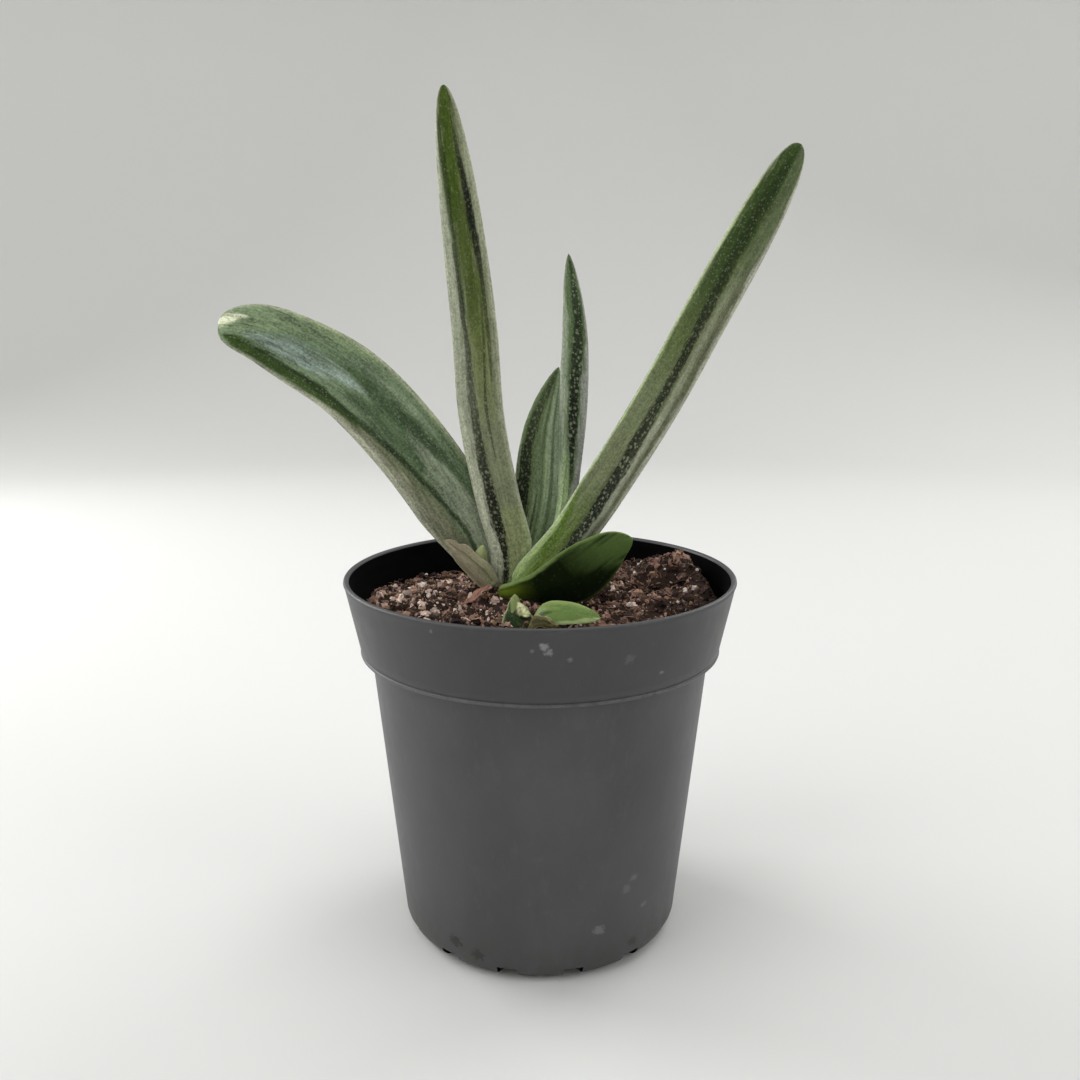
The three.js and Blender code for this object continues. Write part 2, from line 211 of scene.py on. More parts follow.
def stretched(tree, vector, scale):
    return add_node(tree, "VectorMath", {0: vector, 1: scale}, operation="MULTIPLY").outputs[0]


def grain(tree, vector, scale, detail=3.0, roughness=0.55):
    """A noise whose features are about 1/scale long, in the vector's units; scale is a number or three."""
    three = scale if isinstance(scale, tuple) else (scale,) * 3
    inputs = {"Vector": stretched(tree, vector, three), "Scale": 1.0}
    return add_node(tree, "TexNoise", {**inputs, "Detail": detail, "Roughness": roughness}).outputs[0]


def millimetres(tree):
    place = add_node(tree, "TexCoord").outputs["Object"]
    return stretched(tree, place, (1000, 1000, 1000))


def attribute(tree, name, output="Fac"):
    return add_node(tree, "Attribute", attribute_name=name).outputs[output]


def bumped(tree, height, strength, distance):
    """A relief for a shader's Normal input; the distance is in millimetres."""
    inputs = {"Strength": strength, "Distance": distance * MM, "Height": height}
    return add_node(tree, "Bump", inputs).outputs[0]


def new_finish(name):
    finish = bpy.data.materials.new(name)
    finish.use_nodes = True
    tree = finish.node_tree
    return finish, tree, tree.nodes["Principled BSDF"]


# %% [markdown]
# ## Turned pieces
# A pot, a plate or a bowl is round about its axis. By hand it is made from one filled circle: the rim
# is extruded, moved up and scaled, again and again, until the profile is complete. `turn_profile` does
# just that. Every scale is given its centre, because without a window the pivot setting is ignored.

# %% Turn a profile
def turn_profile(name, profile, sides, close=True):
    """profile is a list of (radius, height) in millimetres, from the filled circle onwards."""
    deselect_all()
    radius, height = profile[0]
    bpy.ops.mesh.primitive_circle_add(
        vertices=sides, radius=radius * MM, fill_type="NGON", enter_editmode=True, location=(0, 0, 0)
    )
    piece = bpy.context.object
    piece.name = name
    bpy.ops.transform.translate(value=(0, 0, height * MM))
    bpy.ops.mesh.region_to_loop()
    for next_radius, next_height in profile[1:]:
        move = {"value": (0, 0, (next_height - height) * MM)}
        bpy.ops.mesh.extrude_edges_move(TRANSFORM_OT_translate=move)
        share = next_radius / radius
        bpy.ops.transform.resize(value=(share, share, 1), center_override=(0, 0, next_height * MM))
        radius, height = next_radius, next_height
    if close:
        bpy.ops.mesh.edge_face_add()
    bpy.ops.mesh.select_all(action="SELECT")
    bpy.ops.mesh.normals_make_consistent(inside=False)
    bpy.ops.object.mode_set(mode="OBJECT")
    return piece


def arc(centre, size, start, stop, steps):
    """Points of a round stretch of a profile, angles in degrees from the outward direction."""
    angles = np.radians(np.linspace(start, stop, steps + 1))
    return [(centre[0] + size * math.cos(a), centre[1] + size * math.sin(a)) for a in angles]


# %% [markdown]
# ## The studio
# The floor is a wide pale disc whose edge sweeps up into a wall, all the way round. It has no horizon
# line, and it throws soft light on the pot from every side. A flat plane would be simpler, but a dark
# glossy pot shows whatever stands behind it, so it needs something pale there.

# %% Floor and sweep
FLOOR_RADIUS = 900
SWEEP_RADIUS = 500
WALL_TOP = 1500

sweep = arc((FLOOR_RADIUS, SWEEP_RADIUS), SWEEP_RADIUS, -90, 0, 16)
studio = turn_profile("studio_sweep", sweep + [(FLOOR_RADIUS + SWEEP_RADIUS, WALL_TOP)], 96, close=False)
bpy.ops.object.mode_set(mode="EDIT")
bpy.ops.mesh.select_all(action="SELECT")
bpy.ops.mesh.flip_normals()
bpy.ops.object.mode_set(mode="OBJECT")
bpy.ops.object.shade_smooth()

paper, tree, shader = new_finish("studio_paper")
feed(tree, shader, {"Base Color": tone("#dcdcda"), "Roughness": 0.9})
studio.data.materials.append(paper)
studio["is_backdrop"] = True
print("studio: floor radius", FLOOR_RADIUS, "mm")

# %% [markdown]
# ## The light
# Soft daylight: one broad panel high at the left, a weaker one at the right, one above, and two behind
# the plant that draw the pale edges of the leaves. A sun lamp would be quicker to place, but its shadows
# are hard. Each panel is large for its distance, so shadows stay faint.

# %% Light panels and sky
AIM = Vector((0, 0, 100)) * MM
SKY_STRENGTH = 0.28


def light_panel(name, place, size, watts):
    """A square area lamp, place and size in millimetres, turned towards the middle of the plant."""
    position = Vector(place) * MM
    bpy.ops.object.light_add(type="AREA", location=position)
    panel = bpy.context.object
    panel.name = name
    panel.data.size = size * MM
    panel.data.energy = watts
    panel.rotation_euler = (AIM - position).to_track_quat("-Z", "Y").to_euler()
    panel.visible_camera = False


light_panel("panel_left", (-800, -450, 900), 900, 4.5)
light_panel("panel_right", (850, -350, 700), 700, 2.2)
light_panel("panel_back_left", (-760, 420, 460), 520, 4.6)
light_panel("panel_back_right", (700, 650, 700), 600, 3.5)
light_panel("panel_top", (0, 100, 1150), 800, 4)

sky = bpy.data.worlds.new("pale_sky")
sky.use_nodes = True
feed(sky.node_tree, sky.node_tree.nodes["Background"], {"Color": tone("#ffffff"), "Strength": SKY_STRENGTH})
bpy.context.scene.world = sky

# %% [markdown]
# ## The pot's shape
# A nursery pot is one thin shell of moulded plastic: a body that widens upwards, a ledge, a deeper
# collar with a fine bead along its lower edge, and a narrow rolled lip. The profile goes up the
# outside and down the inside, with real roundings at the foot, the bead and the lip, because those
# small edges are what catch the light.

# %% Pot sizes
pot_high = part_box("pot")[1]
POT_HEIGHT = pot_high.z / MM
RIM_RADIUS = pot_high.x / MM
LIP = 1.5
COLLAR_HEIGHT = 20.3
COLLAR_FOOT_RADIUS = 48.2
COLLAR_FOOT = POT_HEIGHT - COLLAR_HEIGHT
BEAD = 0.4
BEAD_HEIGHT = 1.1
NECK_RADIUS = 45.7
BASE_RADIUS = 37.9
CORNER = 5.0
WALL = 1.2
POT_FLOOR = 1.4
POT_SIDES = 224


def body_radius(height):
    return BASE_RADIUS + (NECK_RADIUS - BASE_RADIUS) * height / COLLAR_FOOT


def collar_radius(height):
    return COLLAR_FOOT_RADIUS + (RIM_RADIUS - COLLAR_FOOT_RADIUS) * (height - COLLAR_FOOT) / COLLAR_HEIGHT


def inner_radius(height):
    outer = collar_radius(height) if height > COLLAR_FOOT + WALL else body_radius(height)
    return outer - WALL


print(f"pot: {POT_HEIGHT:.1f} high, rim radius {RIM_RADIUS:.1f}")

# %% [markdown]
# The pot is moulded in one go, so it is one shell as well. A Spin or a Screw could turn the same
# profile. The rings of `turn_profile` are chosen because they close without a seam to merge.

# %% Pot shell
corner_centre = (body_radius(CORNER) - CORNER, CORNER)
bead_middle = (COLLAR_FOOT_RADIUS + BEAD - BEAD_HEIGHT / 2, COLLAR_FOOT + BEAD_HEIGHT / 2)
lip_middle = (RIM_RADIUS - LIP / 2, POT_HEIGHT - LIP / 2)

outside = arc(corner_centre, CORNER, -90, 0, 8)
outside += [(body_radius(h), h) for h in np.linspace(CORNER + 4, COLLAR_FOOT - 1, 18)]
outside += [(NECK_RADIUS, COLLAR_FOOT - 0.25), (NECK_RADIUS + 0.3, COLLAR_FOOT)]
outside += arc(bead_middle, BEAD_HEIGHT / 2, -80, 70, 6)
outside += [(collar_radius(h), h) for h in np.linspace(COLLAR_FOOT + 1.3, POT_HEIGHT - LIP * 0.9, 9)]
lip_line = arc(lip_middle, LIP / 2, 0, 180, 8)
inside = [(inner_radius(h), h) for h in np.linspace(POT_HEIGHT - LIP * 1.6, COLLAR_FOOT + WALL + 0.6, 7)]
inside += [(COLLAR_FOOT_RADIUS - WALL - 0.2, COLLAR_FOOT + WALL), (NECK_RADIUS - WALL + 0.2, COLLAR_FOOT)]
inside += [(inner_radius(h), h) for h in np.linspace(COLLAR_FOOT - 1, CORNER + 3, 12)]
inside += arc(corner_centre, CORNER - POT_FLOOR, 0, -90, 5)

pot = turn_profile("nursery_pot", outside + lip_line + inside, POT_SIDES)
print("pot rings:", len(outside + lip_line + inside))

# %% [markdown]
# The foot has fourteen drainage slots that open both the rounded corner and the base. One cutter is
# modelled from a block whose two inner upright edges are bevelled round, then copied round the axis.
# All copies are joined and taken out of the pot in a single Boolean, which is quicker than fourteen.

# %% Drainage slots
SLOTS = 14
SLOT_WIDTH = 5.4
SLOT_HEIGHT = 3.6
SLOT_INNER = 32.5
SLOT_OUTER = BASE_RADIUS + 6
SLOT_BELOW = 2

deselect_all()
bpy.ops.mesh.primitive_cube_add(size=1, location=(0, 0, 0), enter_editmode=True)
slot_length = SLOT_OUTER - SLOT_INNER
bpy.ops.transform.resize(value=(slot_length * MM, SLOT_WIDTH * MM, (SLOT_HEIGHT + SLOT_BELOW) * MM))
slot_middle = (SLOT_INNER + slot_length / 2, 0, (SLOT_HEIGHT - SLOT_BELOW) / 2)
bpy.ops.transform.translate(value=Vector(slot_middle) * MM)
bpy.ops.object.mode_set(mode="OBJECT")
cutter = bpy.context.object
for element in (*cutter.data.vertices, *cutter.data.polygons):
    element.select = False
for edge in cutter.data.edges:
    first, second = (cutter.data.vertices[v].co for v in edge.vertices)
    inner = max(first.x, second.x) < (SLOT_INNER + 1) * MM
    edge.select = inner and abs(first.z - second.z) > MM
bpy.ops.object.mode_set(mode="EDIT")
bpy.ops.mesh.select_mode(type="EDGE")
bpy.ops.mesh.bevel(offset=SLOT_WIDTH * 0.46 * MM, segments=5)
bpy.ops.object.mode_set(mode="OBJECT")

cutters = []
for i in range(SLOTS):
    turned = cutter.copy()
    turned.data = cutter.data.copy()
    turned.rotation_euler = (0, 0, -math.pi / 2 + (i + 0.5) / SLOTS * math.tau)
    bpy.context.collection.objects.link(turned)
    cutters.append(turned)
bpy.data.objects.remove(cutter)
deselect_all()
for item in cutters:
    item.select_set(True)
bpy.context.view_layer.objects.active = cutters[0]
bpy.ops.object.join()
all_slots = bpy.context.object

select_only(pot)
cut = pot.modifiers.new("slots", "BOOLEAN")
cut.object = all_slots
cut.operation = "DIFFERENCE"
cut.solver = "EXACT"
bpy.ops.object.modifier_apply(modifier=cut.name)
bpy.data.objects.remove(all_slots)
bpy.ops.object.shade_smooth_by_angle(angle=math.radians(38))
print("pot faces after the slots:", len(pot.data.polygons))

# %% [markdown]
# ## The pot's finish
# The plastic is recycled: a mid grey with faint clouds and slightly glossy. The collar is painted darker,
# as painted shade. The lip and the bead are a little paler, partly wear where they rub on other pots and
# partly a painted highlight. Lime from watering leaves chalky spots, dirty water stains the foot olive,
# and painted shade darkens the foot beside the drainage slots and makes the inside nearly black. All of it
# hangs on object coordinates, so the marks stay where they are from every side.

# %% Grey plastic
CHALK_MARKS = [
    # x, height, radius of the mark in millimetres, strength
    (0.9, 94.6, 1.0, 0.75), (1.9, 93.2, 0.9, 0.6), (6.9, 91.3, 0.7, 0.4), (-1.8, 93.6, 0.5, 0.3),
    (28.8, 84.6, 0.5, 0.4), (20.5, 90.0, 1.2, 0.15), (24.0, 27.0, 1.0, 0.25), (22.0, 24.0, 1.2, 0.2),
    (15.0, 14.0, 1.4, 0.35), (27.0, 17.0, 0.8, 0.25), (-25.0, 96.4, 0.45, 0.3),
]
DARK_SPECKS_AND_FOOT_SHADE = [
    # The small first mark is a speck; the three large ones by the foot are painted shade near the drainage
    # slots.
    (27.2, 78.6, 0.6, 0.8), (-22.0, 8.0, 1.8, 0.8), (-16.0, 6.0, 1.6, 0.6), (24.0, 7.0, 1.4, 0.5),
]


def spots(tree, place, marks, ragged):
    """How strongly a front-facing point belongs to one of the marks."""
    total = 0.0
    flat = stretched(tree, place, (1, 0, 1))
    at_front = soft_step(tree, add_node(tree, "SeparateXYZ", {0: place}).outputs["Y"], -5, -20)
    for x, height, radius, strength in marks:
        middle = {0: flat, 1: (x, 0, height)}
        away = add_node(tree, "VectorMath", middle, operation="DISTANCE").outputs["Value"]
        reach = calc(tree, "ADD", away, around_zero(tree, ragged, radius * 3))
        one = times(tree, soft_step(tree, reach, radius * 1.25, radius * 0.5), strength)
        total = calc(tree, "MAXIMUM", total, one)
    return times(tree, total, at_front)


def grey_plastic():
    finish, tree, shader = new_finish("grey_nursery_plastic")
    place = millimetres(tree)
    height = add_node(tree, "SeparateXYZ", {0: place}).outputs["Z"]
    clouds = grain(tree, place, (0.045, 0.045, 0.03), 4)
    haze = grain(tree, place, (0.3, 0.3, 0.16), 4, 0.7)
    dust = grain(tree, place, 2.6, 2)
    ragged = grain(tree, place, 0.9, 3, 0.7)
    colour = mix(tree, soft_step(tree, clouds, 0.3, 0.7), tone("#3f3f41"), tone("#47474a"))
    colour = cover(tree, colour, "#56565a", soft_step(tree, haze, 0.5, 0.75), 0.3)
    # The paler lip is partly wear and partly a painted highlight.
    lip_wear_and_highlight = soft_step(tree, height, POT_HEIGHT - 1.3, POT_HEIGHT - 0.2)
    lip_wear_and_highlight = times(tree, lip_wear_and_highlight, soft_step(tree, haze, 0.25, 0.6))
    colour = cover(tree, colour, "#6c6c70", lip_wear_and_highlight, 0.1)
    # Painted shade: the collar is painted darker.
    collar = soft_step(tree, height, COLLAR_FOOT + 0.5, COLLAR_FOOT + 3)
    colour = cover(tree, colour, "#2c2c2e", collar, 0.5)
    # The paler bead is partly wear and partly a painted highlight.
    from_bead = calc(tree, "ABSOLUTE", calc(tree, "SUBTRACT", height, COLLAR_FOOT + 0.5))
    bead_wear_and_highlight = times(tree, soft_step(tree, from_bead, 0.9, 0.2), soft_step(tree, haze, 0.3, 0.6))
    colour = cover(tree, colour, "#6c6c70", bead_wear_and_highlight, 0.4)
    foot_dirt = times(tree, soft_step(tree, height, 17, 2), soft_step(tree, haze, 0.38, 0.66))
    colour = cover(tree, colour, "#3d3b31", foot_dirt, 0.7)
    colour = cover(tree, colour, "#a2a2a1", spots(tree, place, CHALK_MARKS, ragged), 0.7)
    # Dark specks, and painted shade near the drainage slots.
    colour = cover(tree, colour, "#161512", spots(tree, place, DARK_SPECKS_AND_FOOT_SHADE, ragged))
    colour = cover(tree, colour, "#98989a", soft_step(tree, dust, 0.72, 0.8), 0.25)
    gloss = spread_to(tree, haze, 0.36, 0.56)
    relief = calc(tree, "ADD", times(tree, dust, 0.4), haze)
    bump = bumped(tree, relief, 0.25, 0.08)
    feed(tree, shader, {"Base Color": colour, "Roughness": gloss, "Normal": bump})
    return finish


def shaded_inner_plastic():
    finish, tree, shader = new_finish("painted_shade_inner_plastic")
    place = millimetres(tree)
    film = grain(tree, place, (0.12, 0.12, 0.3), 4, 0.65)
    grit = grain(tree, place, 1.4, 3)
    # Painted shade: the inside of the pot is painted nearly black.
    colour = mix(tree, soft_step(tree, film, 0.35, 0.7), tone("#030303"), tone("#080809"))
    colour = cover(tree, colour, "#33291f", soft_step(tree, grit, 0.68, 0.78), 0.4)
    feed(tree, shader, {
        "Base Color": colour, "Roughness": 0.8, "Specular IOR Level": 0.03,
        "Normal": bumped(tree, grit, 0.3, 0.1),
    })
    return finish


hand_over(pot, "pot", grey_plastic())
pot.data.materials.append(shaded_inner_plastic())
for face in pot.data.polygons:
    across, up = math.hypot(face.center.x, face.center.y) / MM, face.center.z / MM
    shell = collar_radius(up) if up > COLLAR_FOOT else body_radius(up)
    within = POT_FLOOR < up < POT_HEIGHT - LIP and across < shell - WALL * 0.5
    inwards = face.normal.x * face.center.x + face.normal.y * face.center.y < 0
    if within and (inwards or face.normal.z > 0.5):
        face.material_index = 1
print("inner faces:", sum(face.material_index for face in pot.data.polygons))

# %% [markdown]
# ## The soil bed
# The bed is peat that has sunk some six millimetres below the rim, shrunk from the wall, fallen at
# the back left and heaped up at the right. A grid is the best start for a rough surface, because its cells
# are even: the square is drawn out to a disc, each point takes the height of the heaps and of a
# layered noise, and the border is then extruded down the inside of the pot to close the plug.

# %% Soil heights
SOIL_CLEARANCE = 0.5
SOIL_LEVEL = 92.8
SOIL_BACK_FALL = 0.11
SOIL_EDGE_FALL = 4.0
SOIL_EDGE_REACH = 5.5
WALL_FADE = 1.5
CLOD_RELIEF = 1.1
PIT_DEPTH = 2.2
HEAPS = [
    # x, y, height, spread
    (-9, 0, 2.4, 11), (40, 16, 6.6, 12.5), (26, -15, 1.8, 7), (35, -11, 1.6, 6), (-31, -6, 1.6, 10),
    (30, 5, -3.6, 5), (37, 7, -3.0, 4.5), (20, 9, 1.2, 4), (0, -8, -3.2, 5.5), (9, -7, -3.2, 5.5),
    (17, -6, -2.2, 5),
]

soil_edge = inner_radius(SOIL_LEVEL) - SOIL_CLEARANCE
bed_radius = inner_radius(SOIL_LEVEL - SOIL_EDGE_FALL) - SOIL_CLEARANCE


def soil_height(x, y):
    height = SOIL_LEVEL - SOIL_BACK_FALL * np.maximum(0, y) * smoothstep(0, 40, 30 - x)
    height = height - SOIL_EDGE_FALL * smoothstep(soil_edge - SOIL_EDGE_REACH, soil_edge, np.hypot(x, y))
    for heap_x, heap_y, rise, spread in HEAPS:
        height = height + rise * np.exp(-((x - heap_x) ** 2 + (y - heap_y) ** 2) / spread ** 2)
    return height


def layered_noise(x, y, size, octaves, shift):
    """Noise between about -1 and 1, with features of the given size in millimetres."""
    places = zip((x / size).tolist(), (y / size).tolist())
    return np.array([noise.fractal(Vector((a, b, shift)), 0.9, 2.1, octaves) for a, b in places])


def inland(x, y):
    """1 over the bed, falling to 0 beside the wall, where the ground has to stay low."""
    return 1 - smoothstep(bed_radius - WALL_FADE, bed_radius, np.hypot(x, y))


def bed_surface(x, y):
    """The heaps with their clods and pits, which fade out beside the wall."""
    clods = layered_noise(x, y, 5.0, 3, 0.3)
    pits = np.minimum(0, layered_noise(x, y, 3.4, 2, 3.7))
    return soil_height(x, y) + (CLOD_RELIEF * clods + PIT_DEPTH * pits) * inland(x, y)


# %% [markdown]
# The bed could be sculpted, or raised by a displacement texture. Here the heights are written into
# the grid, because the same function then tells every loose crumb how high the ground is.

# %% Soil bed
BED_CELLS = 180
GRIT_RELIEF = 0.45

# The grid reaches from -1 to 1 both ways, and its points are then drawn out to a disc.
deselect_all()
bpy.ops.mesh.primitive_grid_add(x_subdivisions=BED_CELLS, y_subdivisions=BED_CELLS, location=(0, 0, 0))
bed = bpy.context.object
bed.name = "peat_bed"
square = read_points(bed)
disc_x = square[:, 0] * np.sqrt(1 - square[:, 1] ** 2 / 2) * bed_radius
disc_y = square[:, 1] * np.sqrt(1 - square[:, 0] ** 2 / 2) * bed_radius
grit = layered_noise(disc_x, disc_y, 1.3, 4, 7.1)
bed_height = bed_surface(disc_x, disc_y) + GRIT_RELIEF * grit * inland(disc_x, disc_y)
write_points(bed, np.column_stack([disc_x, disc_y, bed_height]) * MM)
paint(bed, "tint", 0.5 + 0.25 * grit)

bpy.ops.object.mode_set(mode="EDIT")
bpy.ops.mesh.select_all(action="SELECT")
bpy.ops.mesh.region_to_loop()
plug = [
    (COLLAR_FOOT_RADIUS - WALL - 0.6, COLLAR_FOOT + WALL + 0.3),
    (inner_radius(COLLAR_FOOT - 1) - 0.5, COLLAR_FOOT - 1),
    (inner_radius(CORNER + 2) - 0.5, CORNER + 2), (BASE_RADIUS - CORNER - 0.5, POT_FLOOR + 0.3),
]
for radius, height in plug:
    bpy.ops.mesh.extrude_edges_move(TRANSFORM_OT_translate={"value": (0, 0, 0)})
    bpy.ops.object.mode_set(mode="OBJECT")
    points = read_points(bed)
    moving = np.array([vertex.select for vertex in bed.data.vertices])
    reach = np.hypot(points[moving, 0], points[moving, 1])
    points[moving, 0] *= radius * MM / reach
    points[moving, 1] *= radius * MM / reach
    points[moving, 2] = height * MM
    write_points(bed, points)
    bpy.ops.object.mode_set(mode="EDIT")
bpy.ops.mesh.edge_face_add()
bpy.ops.mesh.select_all(action="SELECT")
bpy.ops.mesh.normals_make_consistent(inside=False)
bpy.ops.object.mode_set(mode="OBJECT")
bpy.ops.object.shade_smooth()
print("bed vertices:", len(bed.data.vertices))

# %% [markdown]
# ## Crumbs, clods, perlite and bark
# Real compost is made of loose bits, and only bits give it real shadows. A few shapes are modelled
# from an ico sphere, roughened with random moves and flattened, and then copied by the thousand into
# one mesh. Each small shape has 20 faces, because it is repeated so often; a clod or a grain of
# perlite has more. Every copy keeps a tint of its own, which the finish turns into a colour.

# %% Bit shapes
def bit_shape(detail, seed, rough, flat):
    """The corners and faces of one crumb of unit size."""
    deselect_all()
    bpy.ops.mesh.primitive_ico_sphere_add(
        subdivisions=detail, radius=0.5, location=(0, 0, 0), enter_editmode=True
    )
    bpy.ops.transform.vertex_random(offset=rough, uniform=1.0, normal=0.3, seed=seed)
    bpy.ops.transform.resize(value=(1.0, 0.78, flat), center_override=(0, 0, 0))
    bpy.ops.object.mode_set(mode="OBJECT")
    bit = bpy.context.object
    corners = read_points(bit)
    faces = np.array([face.vertices[:] for face in bit.data.polygons])
    bpy.data.objects.remove(bit)
    return corners, faces


def turns(rng, count):
    """Random rotation matrices, from random unit quaternions."""
    w, x, y, z = rng.normal(size=(4, count))
    length = np.sqrt(w * w + x * x + y * y + z * z)
    w, x, y, z = w / length, x / length, y / length, z / length
    rows = [
        [1 - 2 * (y * y + z * z), 2 * (x * y - w * z), 2 * (x * z + w * y)],
        [2 * (x * y + w * z), 1 - 2 * (x * x + z * z), 2 * (y * z - w * x)],
        [2 * (x * z - w * y), 2 * (y * z + w * x), 1 - 2 * (x * x + y * y)],
    ]
    return np.array(rows).transpose(2, 0, 1)


def scatter(name, shapes, places, sizes, tints, rng):
    """One mesh of many bits: each place gets a shape, turned at random, of its own size."""
    corners, faces, tint, first = [], [], [], 0
    choice = rng.integers(len(shapes), size=len(places))
    for number, (shape, triangles) in enumerate(shapes):
        mine = np.flatnonzero(choice == number)
        turned = np.einsum("kij,nj->kni", turns(rng, len(mine)), shape)
        placed = turned * sizes[mine, None, None] + places[mine, None, :]
        corners.append(placed.reshape(-1, 3))
        starts = first + np.arange(len(mine)) * len(shape)
        faces.append((triangles[None] + starts[:, None, None]).reshape(-1, 3))
        tint.append(np.repeat(tints[mine], len(shape)))
        first += len(mine) * len(shape)
    mesh = bpy.data.meshes.new(name)
    mesh.from_pydata((np.vstack(corners) * MM).tolist(), [], np.vstack(faces).tolist())
    heap = bpy.data.objects.new(name, mesh)
    bpy.context.collection.objects.link(heap)
    paint(heap, "tint", np.concatenate(tint))
    return heap


def bed_places(rng, count, reach):
    """Random points on the bed, as many on each square millimetre."""
    radius = reach * np.sqrt(rng.random(count))
    angle = rng.random(count) * math.tau
    x, y = radius * np.cos(angle), radius * np.sin(angle)
    return np.column_stack([x, y, bed_surface(x, y)])


def patchy(places):
    """Above 1 lighter, below darker: dry and damp patches, painted light on heaps and to the left, painted
    shade in hollows and by the wall.
    """
    x, y = places[:, 0], places[:, 1]
    # Painted shade along the wall, except at the front.
    wall_shade = smoothstep(33, 45, np.hypot(x, y)) * smoothstep(-34, -16, y)
    # Painted light on the heaps and painted shade in the hollows, by height.
    heap_light_and_hollow_shade = 0.07 * (soil_height(x, y) - SOIL_LEVEL)
    patches = 0.65 * layered_noise(x, y, 9.0, 2, 6.1)
    # The term in x is painted light: the bits grow lighter towards the left.
    return np.clip(0.97 + patches + heap_light_and_hollow_shade - 0.008 * x - 0.5 * wall_shade, 0.25, 1.35)


# %% [markdown]
# Fine crumbs cover everything, and the clods are fewer and stick out between them. A particle system
# could strew them too. One mesh for each kind is simpler to save and to export.

# %% Scatter the bits
CRUMBS = 7000
CLODS = 760


def strew(name, shapes, count, edge, smallest, spread, power, rise, scatter_up, rng):
    """Bits all over the bed, most of them small; rise is the share of its size that each is lifted."""
    places = bed_places(rng, count, bed_radius - edge)
    sizes = smallest + spread * rng.random(count) ** power
    lift = sizes * rise
    if scatter_up:
        lift = lift + rng.normal(0, scatter_up, count)
    places[:, 2] += lift
    return scatter(name, shapes, places, sizes, patchy(places) * rng.random(count), rng)


rng = np.random.default_rng(7)
crumb_flats = {1: 0.6, 2: 0.9, 3: 0.4, 4: 0.7, 5: 0.3}
clod_flats = {11: 0.7, 12: 0.85, 13: 0.5, 14: 0.35}
crumb_shapes = [bit_shape(1, seed, 0.2, flat) for seed, flat in crumb_flats.items()]
clod_shapes = [bit_shape(2, seed, 0.19, flat) for seed, flat in clod_flats.items()]
grain_shapes = [bit_shape(2, seed, 0.12, 0.8) for seed in (21, 22, 23)]
crumbs = strew("peat_crumbs", crumb_shapes, CRUMBS, 0.8, 0.3, 1.2, 3, 0.3, 0.25, rng)
clods_heap = strew("peat_clods", clod_shapes, CLODS, 1.8, 1.1, 2.6, 2, 0.12, 0, rng)
print("crumbs:", len(crumbs.data.polygons), "clods:", len(clods_heap.data.polygons))

# %% [markdown]
# Perlite keeps potting soil open. The larger grains catch the eye, so they are placed one by one,
# half sunk in the peat, and the small chips are strewn between them like the crumbs.

# %% Perlite grains
PERLITE = [
    # x, y, diameter
    (-31.9, 1.3, 2.3), (-35.1, -7.9, 2.6), (-27.7, 9.8, 2.2), (20.1, 3.4, 1.6), (19.8, 10.7, 2.6),
    (39.2, -2.2, 1.8), (41.8, -0.5, 1.8), (22.8, -17.1, 1.5), (-20.5, -18.0, 1.3), (-40.5, 8.0, 1.6),
    (3.0, 30.0, 2.6), (-20.0, 26.0, 2.0), (30.0, 26.0, 1.3), (-12.0, 41.0, 2.4), (20.0, 40.0, 1.8),
    (-14.0, -38.0, 1.4), (-44.0, -8.0, 1.3), (27.0, -32.0, 2.0), (-2.0, -40.0, 1.8),
]
CHIPS = 150
CHIP_RISE = 0.6

x, y, sizes = np.array(PERLITE).T
ground = np.maximum(soil_height(x, y), bed_surface(x, y))
places = np.column_stack([x, y, ground + sizes * 0.3])
perlite = scatter("perlite_grains", grain_shapes, places, sizes, rng.random(len(PERLITE)), rng)
places = bed_places(rng, CHIPS, bed_radius - 2) + [0, 0, CHIP_RISE]
sizes = 0.35 + 0.8 * rng.random(CHIPS) ** 2
chips = scatter("perlite_chips", crumb_shapes[:3], places, sizes, rng.random(CHIPS), rng)
print("perlite grains:", len(PERLITE), "and", CHIPS, "chips")

# %% [markdown]
# Fibres and bark slivers tie the heap together. A fibre is a thin curve with a four-sided bevel, bent
# at random and laid on the bed, and a sliver of bark is a short, thick one. Both are turned into
# meshes at the end, like the other pieces.

# %% Fibres
FIBRE_STEPS = 6


def fibre_bundle(name, count, length_range, thickness, lift, rng):
    """Thin bent threads that lie on the bed, as one mesh."""
    threads = bpy.data.curves.new(name, "CURVE")
    threads.dimensions = "3D"
    threads.bevel_depth = thickness * MM
    threads.bevel_resolution = 0
    threads.use_fill_caps = True
    for start in bed_places(rng, count, bed_radius - 5):
        heading = rng.random() * math.tau
        length = rng.uniform(*length_range)
        points = []
        place = start[:2]
        for step in range(FIBRE_STEPS):
            if np.hypot(*place) < bed_radius - 1:
                height = soil_height(place[0], place[1]) + lift * (0.4 + 1.4 * rng.random())
                points.append((place[0], place[1], height))
            heading += rng.normal(0, 0.45)
            place = place + np.array([math.cos(heading), math.sin(heading)]) * length / FIBRE_STEPS
        if len(points) < 3:
            continue
        thread = threads.splines.new("POLY")
        thread.points.add(len(points) - 1)
        for target, point in zip(thread.points, points):
            target.co = (*(Vector(point) * MM), 1)
            target.radius = rng.uniform(0.5, 1.3)
    bundle = bpy.data.objects.new(name, threads)
    bpy.context.collection.objects.link(bundle)
    select_only(bundle)
    bpy.ops.object.convert(target="MESH")
    made = bpy.context.object
    paint(made, "tint", rng.random(len(made.data.vertices)))
    return made


fibres = fibre_bundle("peat_fibres", 150, (3, 9), 0.1, 0.9, rng)
slivers = fibre_bundle("bark_slivers", 60, (1.5, 4), 0.34, 0.5, rng)
print("fibres:", len(fibres.data.polygons), "slivers:", len(slivers.data.polygons))
